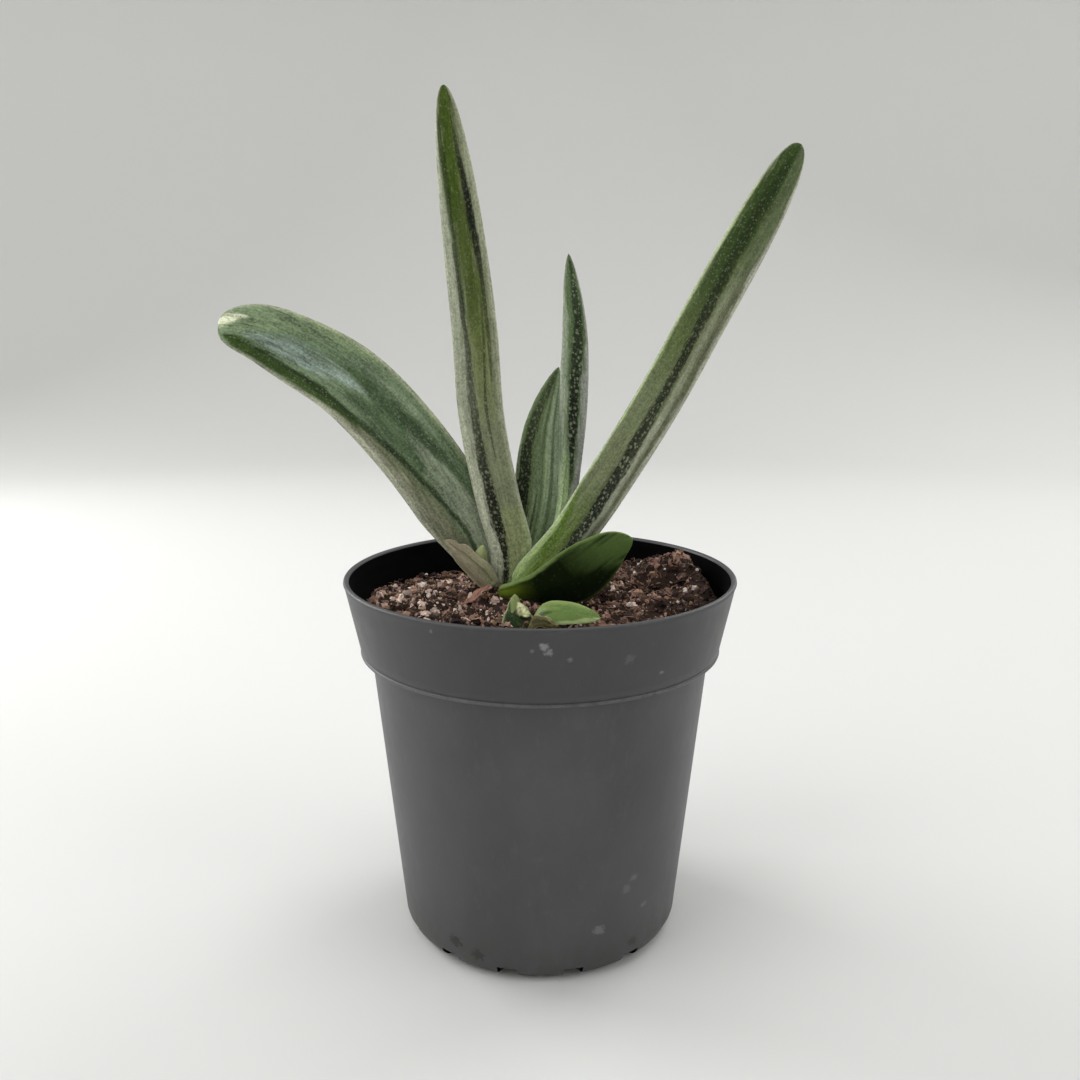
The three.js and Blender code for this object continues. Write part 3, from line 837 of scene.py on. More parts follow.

# %% [markdown]
# ## The soil's finishes
# Peat is dark brown with reddish and tan crumbs, pale where it is dry and where painted light lies, and
# darker where painted shade lies. Perlite is expanded glass: chalk white, and stained where it lies in
# the peat. Fibres and bark go from reddish brown to straw.

# %% Peat, perlite and bark
def earth_finish(name, dark, middle, other, light, grit_size, rough=0.95):
    """Dark to light by each bit's tint; the middle tone drifts between two hues from bit to bit."""
    finish, tree, shader = new_finish(name)
    place = millimetres(tree)
    tint = attribute(tree, "tint")
    mottle = grain(tree, place, 1 / grit_size, 4, 0.65)
    blend = calc(tree, "ADD", times(tree, tint, 0.75), times(tree, mottle, 0.5))
    drift = grain(tree, place, 0.45, 3, 0.7)
    hue = mix(tree, soft_step(tree, drift, 0.4, 0.6), tone(middle), tone(other))
    colour = mix(tree, soft_step(tree, blend, 0.3, 0.7), tone(dark), hue)
    colour = cover(tree, colour, light, soft_step(tree, blend, 0.82, 1.02))
    fine = grain(tree, place, 3.5, 3, 0.7)
    feed(tree, shader, {
        "Base Color": colour, "Roughness": rough, "Specular IOR Level": 0.25,
        "Normal": bumped(tree, fine, 0.7, 0.3),
    })
    return finish


# The bed's near-black is dark peat, made darker as painted shade for the gaps between the bits.
peat = earth_finish("peat", "#110b09", "#32231f", "#35271c", "#6a5245", 1.6)
crumb_peat = earth_finish("peat_crumb", "#241713", "#9b796f", "#a3836a", "#ead4c6", 0.9)
fibre_red = earth_finish("peat_fibre", "#58403a", "#8c6a62", "#947a5c", "#c4a797", 2.5)
perlite_white = earth_finish("perlite_white", "#a4948b", "#d3c3be", "#d3c7b9", "#efe8e2", 0.5, 0.85)
for bits, finish in (
    (crumbs, crumb_peat), (clods_heap, crumb_peat), (fibres, fibre_red), (slivers, fibre_red),
    (perlite, perlite_white), (chips, perlite_white), (bed, peat),
):
    hand_over(bits, "soil", finish)

# %% [markdown]
# ## How a leaf is built
# A gasteria leaf is a long tongue: thick, with two horny margins, a ridge along its front, a round
# keel behind, and a blunt tip. It could be extruded ring by ring, but hundreds of rings would be
# needed for its relief. So it starts as one sphere, whose poles become the root and the tip. Each
# ring of the sphere takes a place on the leaf's line, and its circle becomes the leaf's section.
# The sphere keeps the mesh closed, even and free of seams. A place on the leaf is s, the share of its
# length from root to tip, p, from -1 at one margin to 1 at the other, and q, positive on the front.

# %% The leaf's line
def leaf_line(spine, steps=200):
    """A smooth line through the points, and the length walked up to each place on it."""
    points = np.array(spine, float)
    ends = np.vstack([2 * points[0] - points[1], points, 2 * points[-1] - points[-2]])
    pieces = []
    for a, b, c, d in zip(ends, ends[1:], ends[2:], ends[3:]):
        g, h, k = (np.linalg.norm(v - u) ** 0.5 for u, v in ((a, b), (b, c), (c, d)))
        leave = ((b - a) / g - (c - a) / (g + h) + (c - b) / h) * h
        arrive = ((c - b) / h - (d - b) / (h + k) + (d - c) / k) * h
        t = np.linspace(0, 1, steps, endpoint=False)[:, None]
        bend = t ** 2 * (3 * (c - b) - 2 * leave - arrive) + t ** 3 * (2 * (b - c) + leave + arrive)
        pieces.append(b + t * leave + bend)
    line = np.vstack(pieces + [points[-1:]])
    walked = np.concatenate([[0], np.cumsum(np.linalg.norm(np.diff(line, axis=0), axis=1))])
    return line, walked


def at_share(line, walked, s):
    return np.stack([np.interp(s * walked[-1], walked, line[:, axis]) for axis in range(3)], axis=-1)


def unit(vectors):
    return vectors / np.linalg.norm(vectors, axis=-1, keepdims=True)


# %% [markdown]
# Across, a leaf is a cushion with a ridge in front and a keel behind. The sections could be drawn as
# curves and bridged. A formula is chosen because width, ridge and grooves change all the way along.

# %% The leaf's section
USUAL_GROWTH = 0.28
ROOT_ROUNDING = 0.05
KEEL_SHARE, KEEL_SPREAD = 0.25, 0.35


def closing(form, s):
    """1 along the leaf's body, falling to 0 at the root's end and round to 0 at the tip."""
    tip = np.clip((s - form["fall"]) / (1 - form["fall"]), 0, 1)
    root = np.clip(s / ROOT_ROUNDING, 0, 1)
    return (1 - tip ** form["power"]) ** form["blunt"] * np.sqrt(1 - (1 - root) ** 2)


def half_width(form, s):
    growth = smoothstep(0, form.get("growth", USUAL_GROWTH), s)
    full = form["root_width"] + (form["width"] - form["root_width"]) * growth
    return full / 2 * closing(form, s)


def section_height(form, s, p, q):
    """Height over the plane of the margins: p runs across from -1 to 1, q is fullness, front positive."""
    stations, places = zip(*form["ridge"])
    top = np.interp(s, stations, places)
    straight = np.where(p < top, (p + 1) / (top + 1), (1 - p) / (1 - top))
    cushion = np.maximum(q, 0) ** 0.8
    front = form["front"] * (cushion + (straight - cushion) * form["ridge_cut"])
    for place, depth, breadth in form["grooves"]:
        front = front - np.maximum(q, 0) * depth * np.exp(-(((p - place) / breadth) ** 2))
    keel = (1 - KEEL_SHARE) * np.abs(q) ** 0.8 + KEEL_SHARE * np.exp(-((p / KEEL_SPREAD) ** 2))
    back = -form["back"] * keel * np.minimum(1, np.abs(q) * 12)
    curl = form.get("curl", 0) * (1 - p * p)
    return np.where(q > 0, front, back) + curl


# %% [markdown]
# ## Bands, colours and warts
# The markings run along the leaf: near-black bands set with pale warts, pale stripes, green stripes and
# horny margins. Each marking is a track: stations of s, the band's middle and half width in p, and
# sometimes its strength there. A stroke is a colour, its strength and its track, and the strokes are
# laid over the face one after the other, as with a brush. They could be painted on an image, but each
# track follows its leaf when the leaf is bent. The dark bands are kept apart, so that the finish can
# fray their edges.

# %% Tracks and strokes
FRONT, BACK = 1, -1
TRACK_FADE = 0.03
HORN_EDGE = 0.84


def on_track(stations, s, p):
    """0 far from the track, 0.5 at its edge and 1 along its middle; it fades past its two ends."""
    share, middle, half = list(zip(*stations))[:3]
    reach = np.maximum(np.interp(s, share, half), 1e-4)
    off = np.abs(p - np.interp(s, share, middle))
    ends = np.clip(np.minimum(s - share[0], share[-1] - s) / TRACK_FADE + 1, 0, 1)
    return np.clip(1 - off / (2 * reach), 0, 1) * ends


def strength_along(stations, s):
    """The fourth value of the stations, where they have one."""
    return np.interp(s, *list(zip(*stations))[::3]) if len(stations[0]) > 3 else 1


def laid_over(colour, code, amount):
    return colour + (np.array(tone(code)[:3]) - colour) * amount[..., None]


def lay_strokes(form, s, p, q, ragged):
    """The colour of both faces with every stroke laid over it, as linear red, green and blue."""
    colour = np.ones(s.shape + (3,)) * tone(form["face"])[:3]
    for side, key in ((FRONT, "strokes"), (BACK, "back_strokes")):
        for code, strength, stations in form.get(key, []):
            amount = on_track(stations, s, p) * (q * side >= 0)
            amount = smoothstep(0.2, 0.8, amount + 0.3 * ragged * (amount > 0)) * strength
            colour = laid_over(colour, code, amount * strength_along(stations, s))
    horn = smoothstep(HORN_EDGE, 1.0, np.abs(p)) * form.get("horn", 0.75)
    return laid_over(colour, form.get("margin", "#b4b7a0"), horn)


def lay_bands(form, s, p, q):
    """How far inside a dark band each point lies, and how dark that band is there."""
    inside, depth = np.zeros_like(s), np.zeros_like(s)
    for side, key in ((FRONT, "dark"), (BACK, "back_dark")):
        for stations in form.get(key, []):
            amount = on_track(stations, s, p) * (q * side >= 0)
            depth = np.where(amount > inside, strength_along(stations, s), depth)
            inside = np.maximum(inside, amount)
    return inside, depth


# %% [markdown]
# Every gasteria has small hard warts. A bump in the finish could show them, but along the edge of
# the leaf it would look flat. So they are a field of domes on jittered rows that raises the mesh,
# larger and more crowded on the dark bands.

# %% Warts
WART_TABLE = (61, 257)
WART_JITTER = 0.95
WART_LENGTH = 1.15
USUAL_PITCH = 1.05
USUAL_DOT = 0.42
BAND_CROWD = 0.62


def wart_field(u, v, seed, pitch, radius, crowd):
    """Rounded dots on jittered rows; crowd is the share of places that hold one."""
    rows, columns = WART_TABLE
    table = np.random.default_rng(seed).random((rows, columns, 4))
    pitch_v = pitch * WART_LENGTH
    row, column = np.floor(u / pitch).astype(int), np.floor(v / pitch_v).astype(int)
    field = np.zeros_like(u)
    for i in (-1, 0, 1):
        for j in (-1, 0, 1):
            draw = table[(row + i) % rows, (column + j) % columns]
            middle_u = (row + i + 0.5 + WART_JITTER * (draw[..., 0] - 0.5)) * pitch
            middle_v = (column + j + 0.5 + WART_JITTER * (draw[..., 1] - 0.5)) * pitch_v
            away = np.hypot(u - middle_u, (v - middle_v) * 0.85)
            size = radius * (0.55 + 0.75 * draw[..., 2])
            dot = np.clip(1 - (away / size) ** 2, 0, 1) ** 1.5
            field = np.maximum(field, np.where(draw[..., 3] < crowd, dot, 0))
    return field


def lay_warts(form, s, u, v, dark):
    """Large warts on the dark bands, smaller ones between; dotting makes them fainter along the leaf."""
    seed, pitch, dot = form["seed"], form.get("pitch", USUAL_PITCH), form.get("dot", USUAL_DOT)
    on_dark = wart_field(u, v, seed, pitch, dot, BAND_CROWD)
    on_face = wart_field(u, v, seed + 1, pitch * 0.86, dot * 0.8, form.get("crowd", 0.5))
    in_dark = smoothstep(0.3, 0.55, dark)
    warts = np.maximum(on_dark * in_dark, on_face * (1 - in_dark))
    return warts * np.interp(s, *zip(*form.get("dotting", [(0, 1), (1, 1)])))


# %% [markdown]
# The body is laid round the leaf's line, a little thinner than the full size, and the relief is then
# added along its normals. A displacement modifier could do the second half, but the finish needs the
# same values as the relief, so both are worked out in one place.

# %% The leaf's body
INSET = 0.14
SWAY_LENGTH = 7.3
LOOK_AHEAD = 0.004


def ring_table(sides, rings):
    """For each ring and side: s along the leaf, p across, q through it, and 1 everywhere but at the poles."""
    even = 1 - np.arange(rings + 1) / rings
    share = even - 0.6 * np.sin(math.tau * even) / math.tau
    angle = np.arange(sides) / sides * math.tau
    s, around = np.meshgrid(share, angle, indexing="ij")
    body = np.ones_like(s)
    body[[0, -1]] = 0
    return s, np.cos(around) * body, np.sin(around) * body, body


def leaf_body(form, s, p, q):
    """The smooth leaf's points, and how far each lies across, along and above the plane of the margins."""
    line, walked = leaf_line(form["spine"])
    length = walked[-1]
    reach = s * (1 - INSET / length)
    middle = at_share(line, walked, reach)
    ahead = at_share(line, walked, np.minimum(reach + LOOK_AHEAD, 1))
    behind = at_share(line, walked, np.maximum(reach - LOOK_AHEAD, 0))
    tangent = unit(ahead - behind)
    root_lean, tip_lean = np.array(form["across"])
    lean = root_lean * (1 - s[..., None]) + tip_lean * s[..., None]
    across = unit(lean - tangent * np.sum(lean * tangent, axis=-1, keepdims=True))
    facing = np.cross(across, tangent)
    full = closing(form, s)
    out = np.maximum(0, half_width(form, s) - INSET) * p
    for edge, place, depth, spread in form.get("nicks", []):
        out = out * (1 - depth * np.exp(-(((s - place) / spread) ** 2)) * (p * edge > 0))
    sway = form.get("sway", 0) * np.sin(s * length / SWAY_LENGTH + p * 1.7) * full
    up = section_height(form, s, p, q) * full ** 0.8
    up = up - INSET * np.sign(q) * np.minimum(1, np.abs(q) * 4) * full + sway
    shape = middle + across * out[..., None] + facing * up[..., None]
    return shape, out, s * length, up


# %% The leaf's relief
USUAL_WART = 0.09
USUAL_FURROW = 0.02
TEAR_ROUGHNESS = 0.7


def skin_noise(u, v, size, shift):
    return layered_noise(u.ravel(), v.ravel(), size, 3, shift).reshape(u.shape)


def relief(form, s, p, q, u, v, warts):
    """Warts, long furrows, wrinkles near the root, crumples and the pit of a tear, in millimetres."""
    ripple = np.sin(u * 5.1 + 2.0 * np.sin(v * 0.05)) * 0.5
    ripple = ripple + np.sin(u * 8.3 + 3.0 * np.sin(v * 0.03 + 1)) * 0.5
    lift = form.get("wart", USUAL_WART) * warts + form.get("furrow", USUAL_FURROW) * ripple
    wrinkle = form.get("wrinkle", 0) * np.sin(v * 3.1 + 1.3 * np.sin(u * 0.9))
    lift = lift + wrinkle * smoothstep(0.4, 0.1, s)
    lift = lift + form.get("crumple", 0) * skin_noise(u, v * 0.5, 1.6, 2.2)
    if "tear_track" in form:
        torn = form["tear"] * smoothstep(0.3, 0.6, on_track(form["tear_track"], s, p) * (q > 0))
        lift = lift - torn * (0.8 + TEAR_ROUGHNESS * skin_noise(u, v, 0.9, 5.5))
    return lift


def surface_normals(shape):
    """Outward directions, from each point's neighbours along the leaf and round it."""
    along = np.gradient(shape, axis=0)
    round_it = np.roll(shape, -1, axis=1) - np.roll(shape, 1, axis=1)
    normal = np.cross(along, round_it)
    return normal / np.maximum(np.linalg.norm(normal, axis=-1, keepdims=True), 1e-9)


# %% Grow a leaf
def store_vectors(piece, name, vectors):
    layer = piece.data.attributes.new(name, "FLOAT_VECTOR", "POINT")
    layer.data.foreach_set("vector", np.asarray(vectors, np.float32).ravel())


def grow_leaf(name, form, sides, rings):
    deselect_all()
    bpy.ops.mesh.primitive_uv_sphere_add(segments=sides, ring_count=rings, radius=1, location=(0, 0, 0))
    leaf = bpy.context.object
    leaf.name = name
    x, y, z = read_points(leaf).T
    ring = np.rint(np.arccos(np.clip(z, -1, 1)) / math.pi * rings).astype(int)
    side = np.rint(np.arctan2(-y, x) / math.tau * sides).astype(int) % sides

    s, p, q, body = ring_table(sides, rings)
    shape, out, v, up = leaf_body(form, s, p, q)
    girth = np.cumsum(np.linalg.norm(shape - np.roll(shape, 1, axis=1), axis=-1), axis=1)
    u = girth - girth[:, sides // 4, None]
    ragged = skin_noise(u, v * 0.12, 0.8, form["seed"] * 0.37)
    dark, depth = lay_bands(form, s, p, q)
    warts = lay_warts(form, s, u, v, dark)
    lift = relief(form, s, p, q, u, v, warts) * np.minimum(1, closing(form, s) * 3) * body
    shape = shape + surface_normals(shape) * lift[..., None]

    write_points(leaf, shape[ring, side] * MM)
    store_vectors(leaf, "straight", np.stack([out, v, up], axis=-1)[ring, side])
    store_vectors(leaf, "painted", lay_strokes(form, s, p, q, ragged)[ring, side])
    for layer, values in {"dark": dark, "depth": depth, "warts": warts}.items():
        paint(leaf, layer, values[ring, side])
    bpy.ops.object.shade_smooth()
    return leaf


# %% [markdown]
# ## The leaf's finish
# The skin is a waxy cuticle over green tissue. It takes the painted colour, breaks it up with patches,
# streaks and a fine mottling, then lays the frayed dark bands over it, and last the pale warts. The
# speckle between the warts is too small for the mesh, so it is a cell pattern that also drives a faint
# bump. All patterns lie on the leaf as if it were straight, so that the streaks follow its bend.

# %% Leaf skin
def leaf_skin(name, dark="#0b0f07", dots="#8c9678", speckle=0.36, gloss=0.48, cell=(1.7, 1.35, 1.7),
              mottling=0.46, patchiness=0.1):
    """dark and dots are the tones of bands and warts; speckle is how strongly the specks between show."""
    finish, tree, shader = new_finish(name)
    straight = attribute(tree, "straight", "Vector")
    streak = grain(tree, straight, (2.1, 0.07, 2.1), 4, 0.6)
    mottle = grain(tree, straight, (0.8, 0.4, 0.8), 4, 0.75)
    grit = grain(tree, straight, (2.1, 1.5, 2.1), 2, 0.6)
    patch = grain(tree, straight, (0.3, 0.09, 0.3), 3, 0.7)
    cells = {"Vector": stretched(tree, straight, cell), "Scale": 1.0, "Randomness": 0.95}
    voronoi = add_node(tree, "TexVoronoi", cells)
    chosen = add_node(tree, "SeparateColor", {0: voronoi.outputs["Color"]}).outputs[0]
    near_middle = soft_step(tree, voronoi.outputs["Distance"], 0.46, 0.14)
    speck = times(tree, near_middle, soft_step(tree, chosen, 0.3, 0.8))

    uneven = 0.0
    for pattern, weight in ((patch, patchiness), (streak, 0.25), (mottle, 0.4 - patchiness), (grit, 0.35)):
        uneven = calc(tree, "ADD", uneven, times(tree, pattern, weight))
    shade = spread_to(tree, uneven, 1 - mottling, 1 + mottling, 0.38, 0.62)
    colour = scaled(tree, attribute(tree, "painted", "Vector"), shade)

    fray = calc(tree, "ADD", around_zero(tree, streak, 0.9), around_zero(tree, mottle, 0.9))
    inside = attribute(tree, "dark")
    edge = soft_step(tree, calc(tree, "ADD", inside, fray), 0.34, 0.64)
    edge = times(tree, edge, calc(tree, "GREATER_THAN", inside, 0.001))
    broken = calc(tree, "SUBTRACT", 1.0, times(tree, soft_step(tree, grit, 0.5, 0.7), 0.22))
    band = times(tree, times(tree, edge, attribute(tree, "depth")), broken)
    colour = mix(tree, band, colour, cover(tree, scaled(tree, colour, 0.12), dark, 0.7))

    colour = cover(tree, colour, dots, speck, speckle)
    wart = soft_step(tree, attribute(tree, "warts"), 0.05, 0.75)
    colour = cover(tree, colour, dots, wart, spread_to(tree, band, speckle, 0.72))
    wax = spread_to(tree, mottle, gloss - 0.06, gloss + 0.14)
    height = calc(tree, "ADD", times(tree, speck, 0.7), times(tree, grit, 0.6))
    feed(tree, shader, {
        "Base Color": colour, "Roughness": wax, "Specular IOR Level": 0.17,
        "Normal": bumped(tree, height, 0.4, 0.12),
    })
    return finish


# %% [markdown]
# The older leaves are alike behind: a pale keel, a dark band on each side of it and a greener end.
# Each form could say so again, but a shared one says it once, and a leaf changes what differs.

# %% Backs of the older leaves
PALE_KEEL = ("#868c74", 0.8, [(0, 0, 0.1), (0.5, 0, 0.12), (1, 0, 0.06)])
GREEN_BACK = ("#45592c", 0.8, [(0.2, 0, 0.9, 0), (0.5, 0, 0.9, 0.8), (0.7, 0, 0.9, 1), (1, 0, 1, 1)])


def back_bands(breadth):
    """The two dark bands that every older leaf has on its back, beside the keel."""
    return [
        [(0.02, side * 0.5, 0.15 * breadth, 1), (0.5, side * 0.4, 0.12 * breadth, 0.9),
         (0.95, side * 0.3, 0.08 * breadth, 0.7)]
        for side in (-1, 1)
    ]


OLD_LEAF = dict(back_strokes=[PALE_KEEL, GREEN_BACK], back_dark=back_bands(1))

# %% [markdown]
# ## The tall leaf
# The tallest leaf stands almost upright and leans a little to the left. Two dark lines run down its
# face: one on the left that widens into a black, warty band near the crown, one on the right that is
# strongest near the tip. Between them the leaf is green at the top and greyer further down. Near the
# crown it is paler, partly its own colour and partly painted light against the shade there.

# %% Tall leaf
tall = OLD_LEAF | dict(
    spine=[(-8.2, -0.5, 93), (-7.8, -0.5, 105), (-11.2, -1, 119), (-15.2, -2.6, 141), (-16.6, -5, 163.5),
           (-19.8, -8, 194.5), (-22.9, -10.2, 220.3)],
    across=[(1, -0.05, 0), (1, 0.1, 0)], width=12.1, root_width=11.9, fall=0.29, power=3, blunt=0.45,
    front=2.4, back=2.3,
    ridge=[(0, -0.4), (0.5, -0.2), (1, -0.6)],
    ridge_cut=0.45, grooves=[(-0.42, 0.3, 0.12), (0.42, 0.35, 0.12)], seed=101, sway=0.12, wrinkle=0.03,
    face="#7b8163",
    dotting=[(0, 1), (0.45, 1), (0.6, 0.3), (1, 0.15)],
    strokes=[
        # Paler base, partly its own colour and partly painted light against the crown's shade.
        ("#929b6f", 0.9, [(0, 0.3, 0.9), (0.12, 0.3, 0.8), (0.2, 0.4, 0.1)]),
        ("#838a6c", 0.85, [(0.2, 0.4, 0.3), (0.3, 0.4, 0.5), (0.38, 0.3, 0.4)]),
        ("#76804f", 0.9, [(0.34, 0.35, 0.4, 0), (0.42, 0.25, 0.5, 0.7), (0.55, 0.2, 0.5, 1),
            (0.66, 0.1, 0.5, 1)]),
        ("#4c5a26", 1, [(0.46, 0.1, 0.34, 0), (0.58, 0.08, 0.45, 0.85), (0.645, 0.05, 0.45, 1),
            (0.71, 0, 0.5, 1), (0.765, -0.05, 0.5, 1), (0.82, -0.14, 0.5, 1), (0.875, -0.2, 0.6, 1),
            (0.935, -0.2, 0.7, 1), (1, -0.1, 0.9, 1)]),
        ("#435716", 0.85, [(0.7, -0.25, 0.1, 0), (0.78, -0.3, 0.2, 1), (0.84, -0.2, 0.25, 1),
            (0.95, -0.2, 0.4, 1), (1, -0.1, 0.5, 1)]),
        ("#a5ab95", 1, [(0, -1, 0.55), (0.07, -1, 0.62), (0.16, -1, 0.45), (0.25, -1, 0.53),
            (0.39, -1, 0.6), (0.46, -1, 0.62), (0.52, -1, 0.56), (0.645, -1, 0.56), (0.71, -1, 0.5),
            (0.765, -1, 0.4), (0.82, -1, 0.28), (0.875, -1, 0.16), (0.935, -1, 0.1)]),
        # Pale left margin near the root, partly its own colour and partly painted light.
        ("#c6ccb3", 0.9, [(0, -1, 0.5), (0.1, -1, 0.55), (0.2, -1, 0.42), (0.3, -1, 0.3), (0.4, -1, 0.15)]),
        ("#9aa085", 0.95, [(0, 1, 0.14), (0.3, 1, 0.2), (0.46, 1, 0.25), (0.6, 1, 0.25), (0.71, 1, 0.26),
            (0.765, 1, 0.32), (0.82, 1, 0.36), (0.9, 1, 0.4), (0.95, 1, 0.3), (1, 1, 0.2)]),
        # Pale right margin near the root, partly its own colour and partly painted light.
        ("#a3b37c", 0.9, [(0, 1, 0.4), (0.08, 1, 0.32), (0.13, 1, 0.24), (0.2, 1, 0.08)]),
        ("#2a3a10", 0.8, [(0.6, -0.34, 0.05), (0.7, -0.42, 0.08), (0.765, -0.5, 0.12), (0.82, -0.56, 0.16),
            (0.875, -0.64, 0.16), (0.935, -0.7, 0.14)]),
    ],
    dark=[
        [(0, -0.23, 0.13, 1), (0.07, -0.23, 0.15, 1), (0.11, -0.26, 0.18, 1), (0.16, -0.31, 0.24, 1),
         (0.2, -0.26, 0.24, 1), (0.25, -0.24, 0.23, 0.95), (0.29, -0.24, 0.2, 0.9),
         (0.335, -0.25, 0.18, 0.8), (0.39, -0.29, 0.17, 0.75), (0.46, -0.32, 0.14, 0.7),
         (0.52, -0.36, 0.11, 0.75), (0.58, -0.42, 0.1, 0.8), (0.645, -0.46, 0.07, 0.75),
         (0.71, -0.54, 0.05, 0.6)],
        [(0.46, 0.6, 0.04, 0.5), (0.52, 0.6, 0.07, 0.6), (0.58, 0.59, 0.08, 0.6), (0.645, 0.6, 0.09, 0.75),
         (0.71, 0.55, 0.14, 0.95), (0.765, 0.46, 0.17, 1), (0.82, 0.42, 0.16, 1), (0.875, 0.32, 0.13, 0.85),
         (0.935, 0.25, 0.06, 0.5)],
        [(0.3, 0.32, 0.03, 0.5), (0.4, 0.28, 0.07, 0.7), (0.5, 0.34, 0.05, 0.6), (0.6, 0.42, 0.03, 0.4)],
    ],
)
tall_leaf = grow_leaf("tall_leaf", tall, 144, 500)
warty_skin = leaf_skin("warty_grey_green_skin")
hand_over(tall_leaf, "leaf_tall", warty_skin)

# %% [markdown]
# ## The right leaf
# The longest leaf leaves the crown to the right. Its ridge shows as a pale stripe, which is a painted
# highlight, with a black warty band above it and a thin grey line below, which is painted shade. Its root
# is young and yellow-green, and wraps the next leaf.

# %% Right leaf
right = dict(
    spine=[(-6.6, -3.8, 93.8), (-2.1, -4.4, 99.2), (8.3, -4, 110.2), (18.6, -3, 125.4), (31.2, -1, 145.7),
           (43.8, 2, 168.6), (56, 4.5, 190.6), (66.1, 6.6, 209.5)],
    across=[(0.7, -0.35, -0.5), (0.84, 0, -0.54)], width=12.5, root_width=9.8, fall=0.6, power=3.6,
    blunt=0.42, front=2.9, back=2.3,
    ridge=[(0, 0.6), (0.25, 0.58), (0.42, 0.5), (0.6, 0.44), (1, 0.35)],
    ridge_cut=0.55, grooves=[(0.15, 0.35, 0.12), (0.76, 0.3, 0.1)], seed=211, sway=0.12, face="#6b7453",
    dotting=[(0, 0.8), (0.4, 0.9), (0.55, 0.6), (0.7, 0.4), (1, 0.35)],
    strokes=[
        ("#7d9440", 0.95, [(0, 0, 1, 1), (0.06, 0, 1, 1), (0.12, 0, 1, 0.5), (0.18, 0, 1, 0)]),
        ("#566a28", 0.8, [(0.1, -0.1, 0.5, 0), (0.15, -0.1, 0.4, 1), (0.2, -0.2, 0.35, 0.8),
            (0.28, -0.2, 0.3, 0)]),
        ("#4e5d2f", 0.95, [(0.46, -0.5, 0.3, 0), (0.57, -0.5, 0.45, 0.9), (0.7, -0.4, 0.5, 1),
            (0.8, -0.2, 0.7, 1), (0.9, -0.1, 0.8, 1), (1, 0, 1, 1)]),
        ("#2c4013", 0.95, [(0.6, -0.5, 0.3, 0), (0.7, -0.45, 0.4, 0.8), (0.8, -0.4, 0.6, 1),
            (0.92, -0.2, 0.7, 1), (1, -0.1, 0.8, 1)]),
        ("#5d6a49", 0.9, [(0.66, 0.55, 0.2, 0), (0.76, 0.52, 0.32, 1), (0.85, 0.5, 0.32, 0.8),
            (0.98, 0.5, 0.3, 0.5)]),
        # Painted highlight: the pale stripe along the ridge.
        ("#9aa089", 0.95, [(0.04, 0.64, 0.08, 1), (0.25, 0.61, 0.12, 1), (0.42, 0.53, 0.12, 0.9),
            (0.57, 0.43, 0.11, 0.6), (0.64, 0.42, 0.12, 0.45), (0.7, 0.42, 0.12, 0.35),
            (0.76, 0.44, 0.08, 0)]),
        # Painted highlight: a paler line on the ridge.
        ("#c0c2b2", 0.3, [(0.18, 0.62, 0.06), (0.3, 0.58, 0.06), (0.42, 0.53, 0.04)]),
        # Painted shade: the thin grey line below the ridge.
        ("#60624f", 0.8, [(0.1, 0.82, 0.05), (0.26, 0.82, 0.06), (0.42, 0.78, 0.08), (0.6, 0.72, 0.1),
            (0.7, 0.72, 0.1), (0.78, 0.74, 0.05)]),
        ("#b0b3a1", 0.95, [(0, 1, 0.1), (0.3, 1, 0.14), (0.6, 1, 0.14), (0.8, 1, 0.16), (0.95, 1, 0.1)]),
        ("#9fb878", 0.95, [(0, -1, 0.8), (0.08, -1, 0.6), (0.13, -1, 0.42), (0.17, -1, 0.28),
            (0.22, -1, 0.15), (0.3, -1, 0.1), (0.9, -1, 0.09)]),
        ("#4b6512", 1, [(0.04, -0.1, 0.3, 0.5), (0.1, -0.28, 0.3, 1), (0.13, -0.4, 0.26, 1),
            (0.17, -0.56, 0.2, 1), (0.22, -0.8, 0.12, 0.9), (0.28, -0.92, 0.05, 0.6)]),
    ],
    back_dark=back_bands(1), back_strokes=[
        ("#7c9648", 0.9, [(0, 0, 0.9), (0.1, 0, 0.6), (0.2, 0, 0.2)]), PALE_KEEL, GREEN_BACK,
    ],
    dark=[
        [(0.04, 0.32, 0.12, 0), (0.12, 0.38, 0.2, 1), (0.26, 0.28, 0.24, 1), (0.42, 0.12, 0.2, 0.85),
         (0.57, 0.02, 0.16, 0.9), (0.64, -0.03, 0.18, 0.85), (0.7, -0.1, 0.2, 0.7), (0.78, -0.2, 0.2, 0.55),
         (0.88, -0.2, 0.25, 0.45), (0.95, -0.1, 0.25, 0.4)],
    ],
)
right_leaf = grow_leaf("right_leaf", right, 144, 520)
hand_over(right_leaf, "leaf_right", warty_skin)
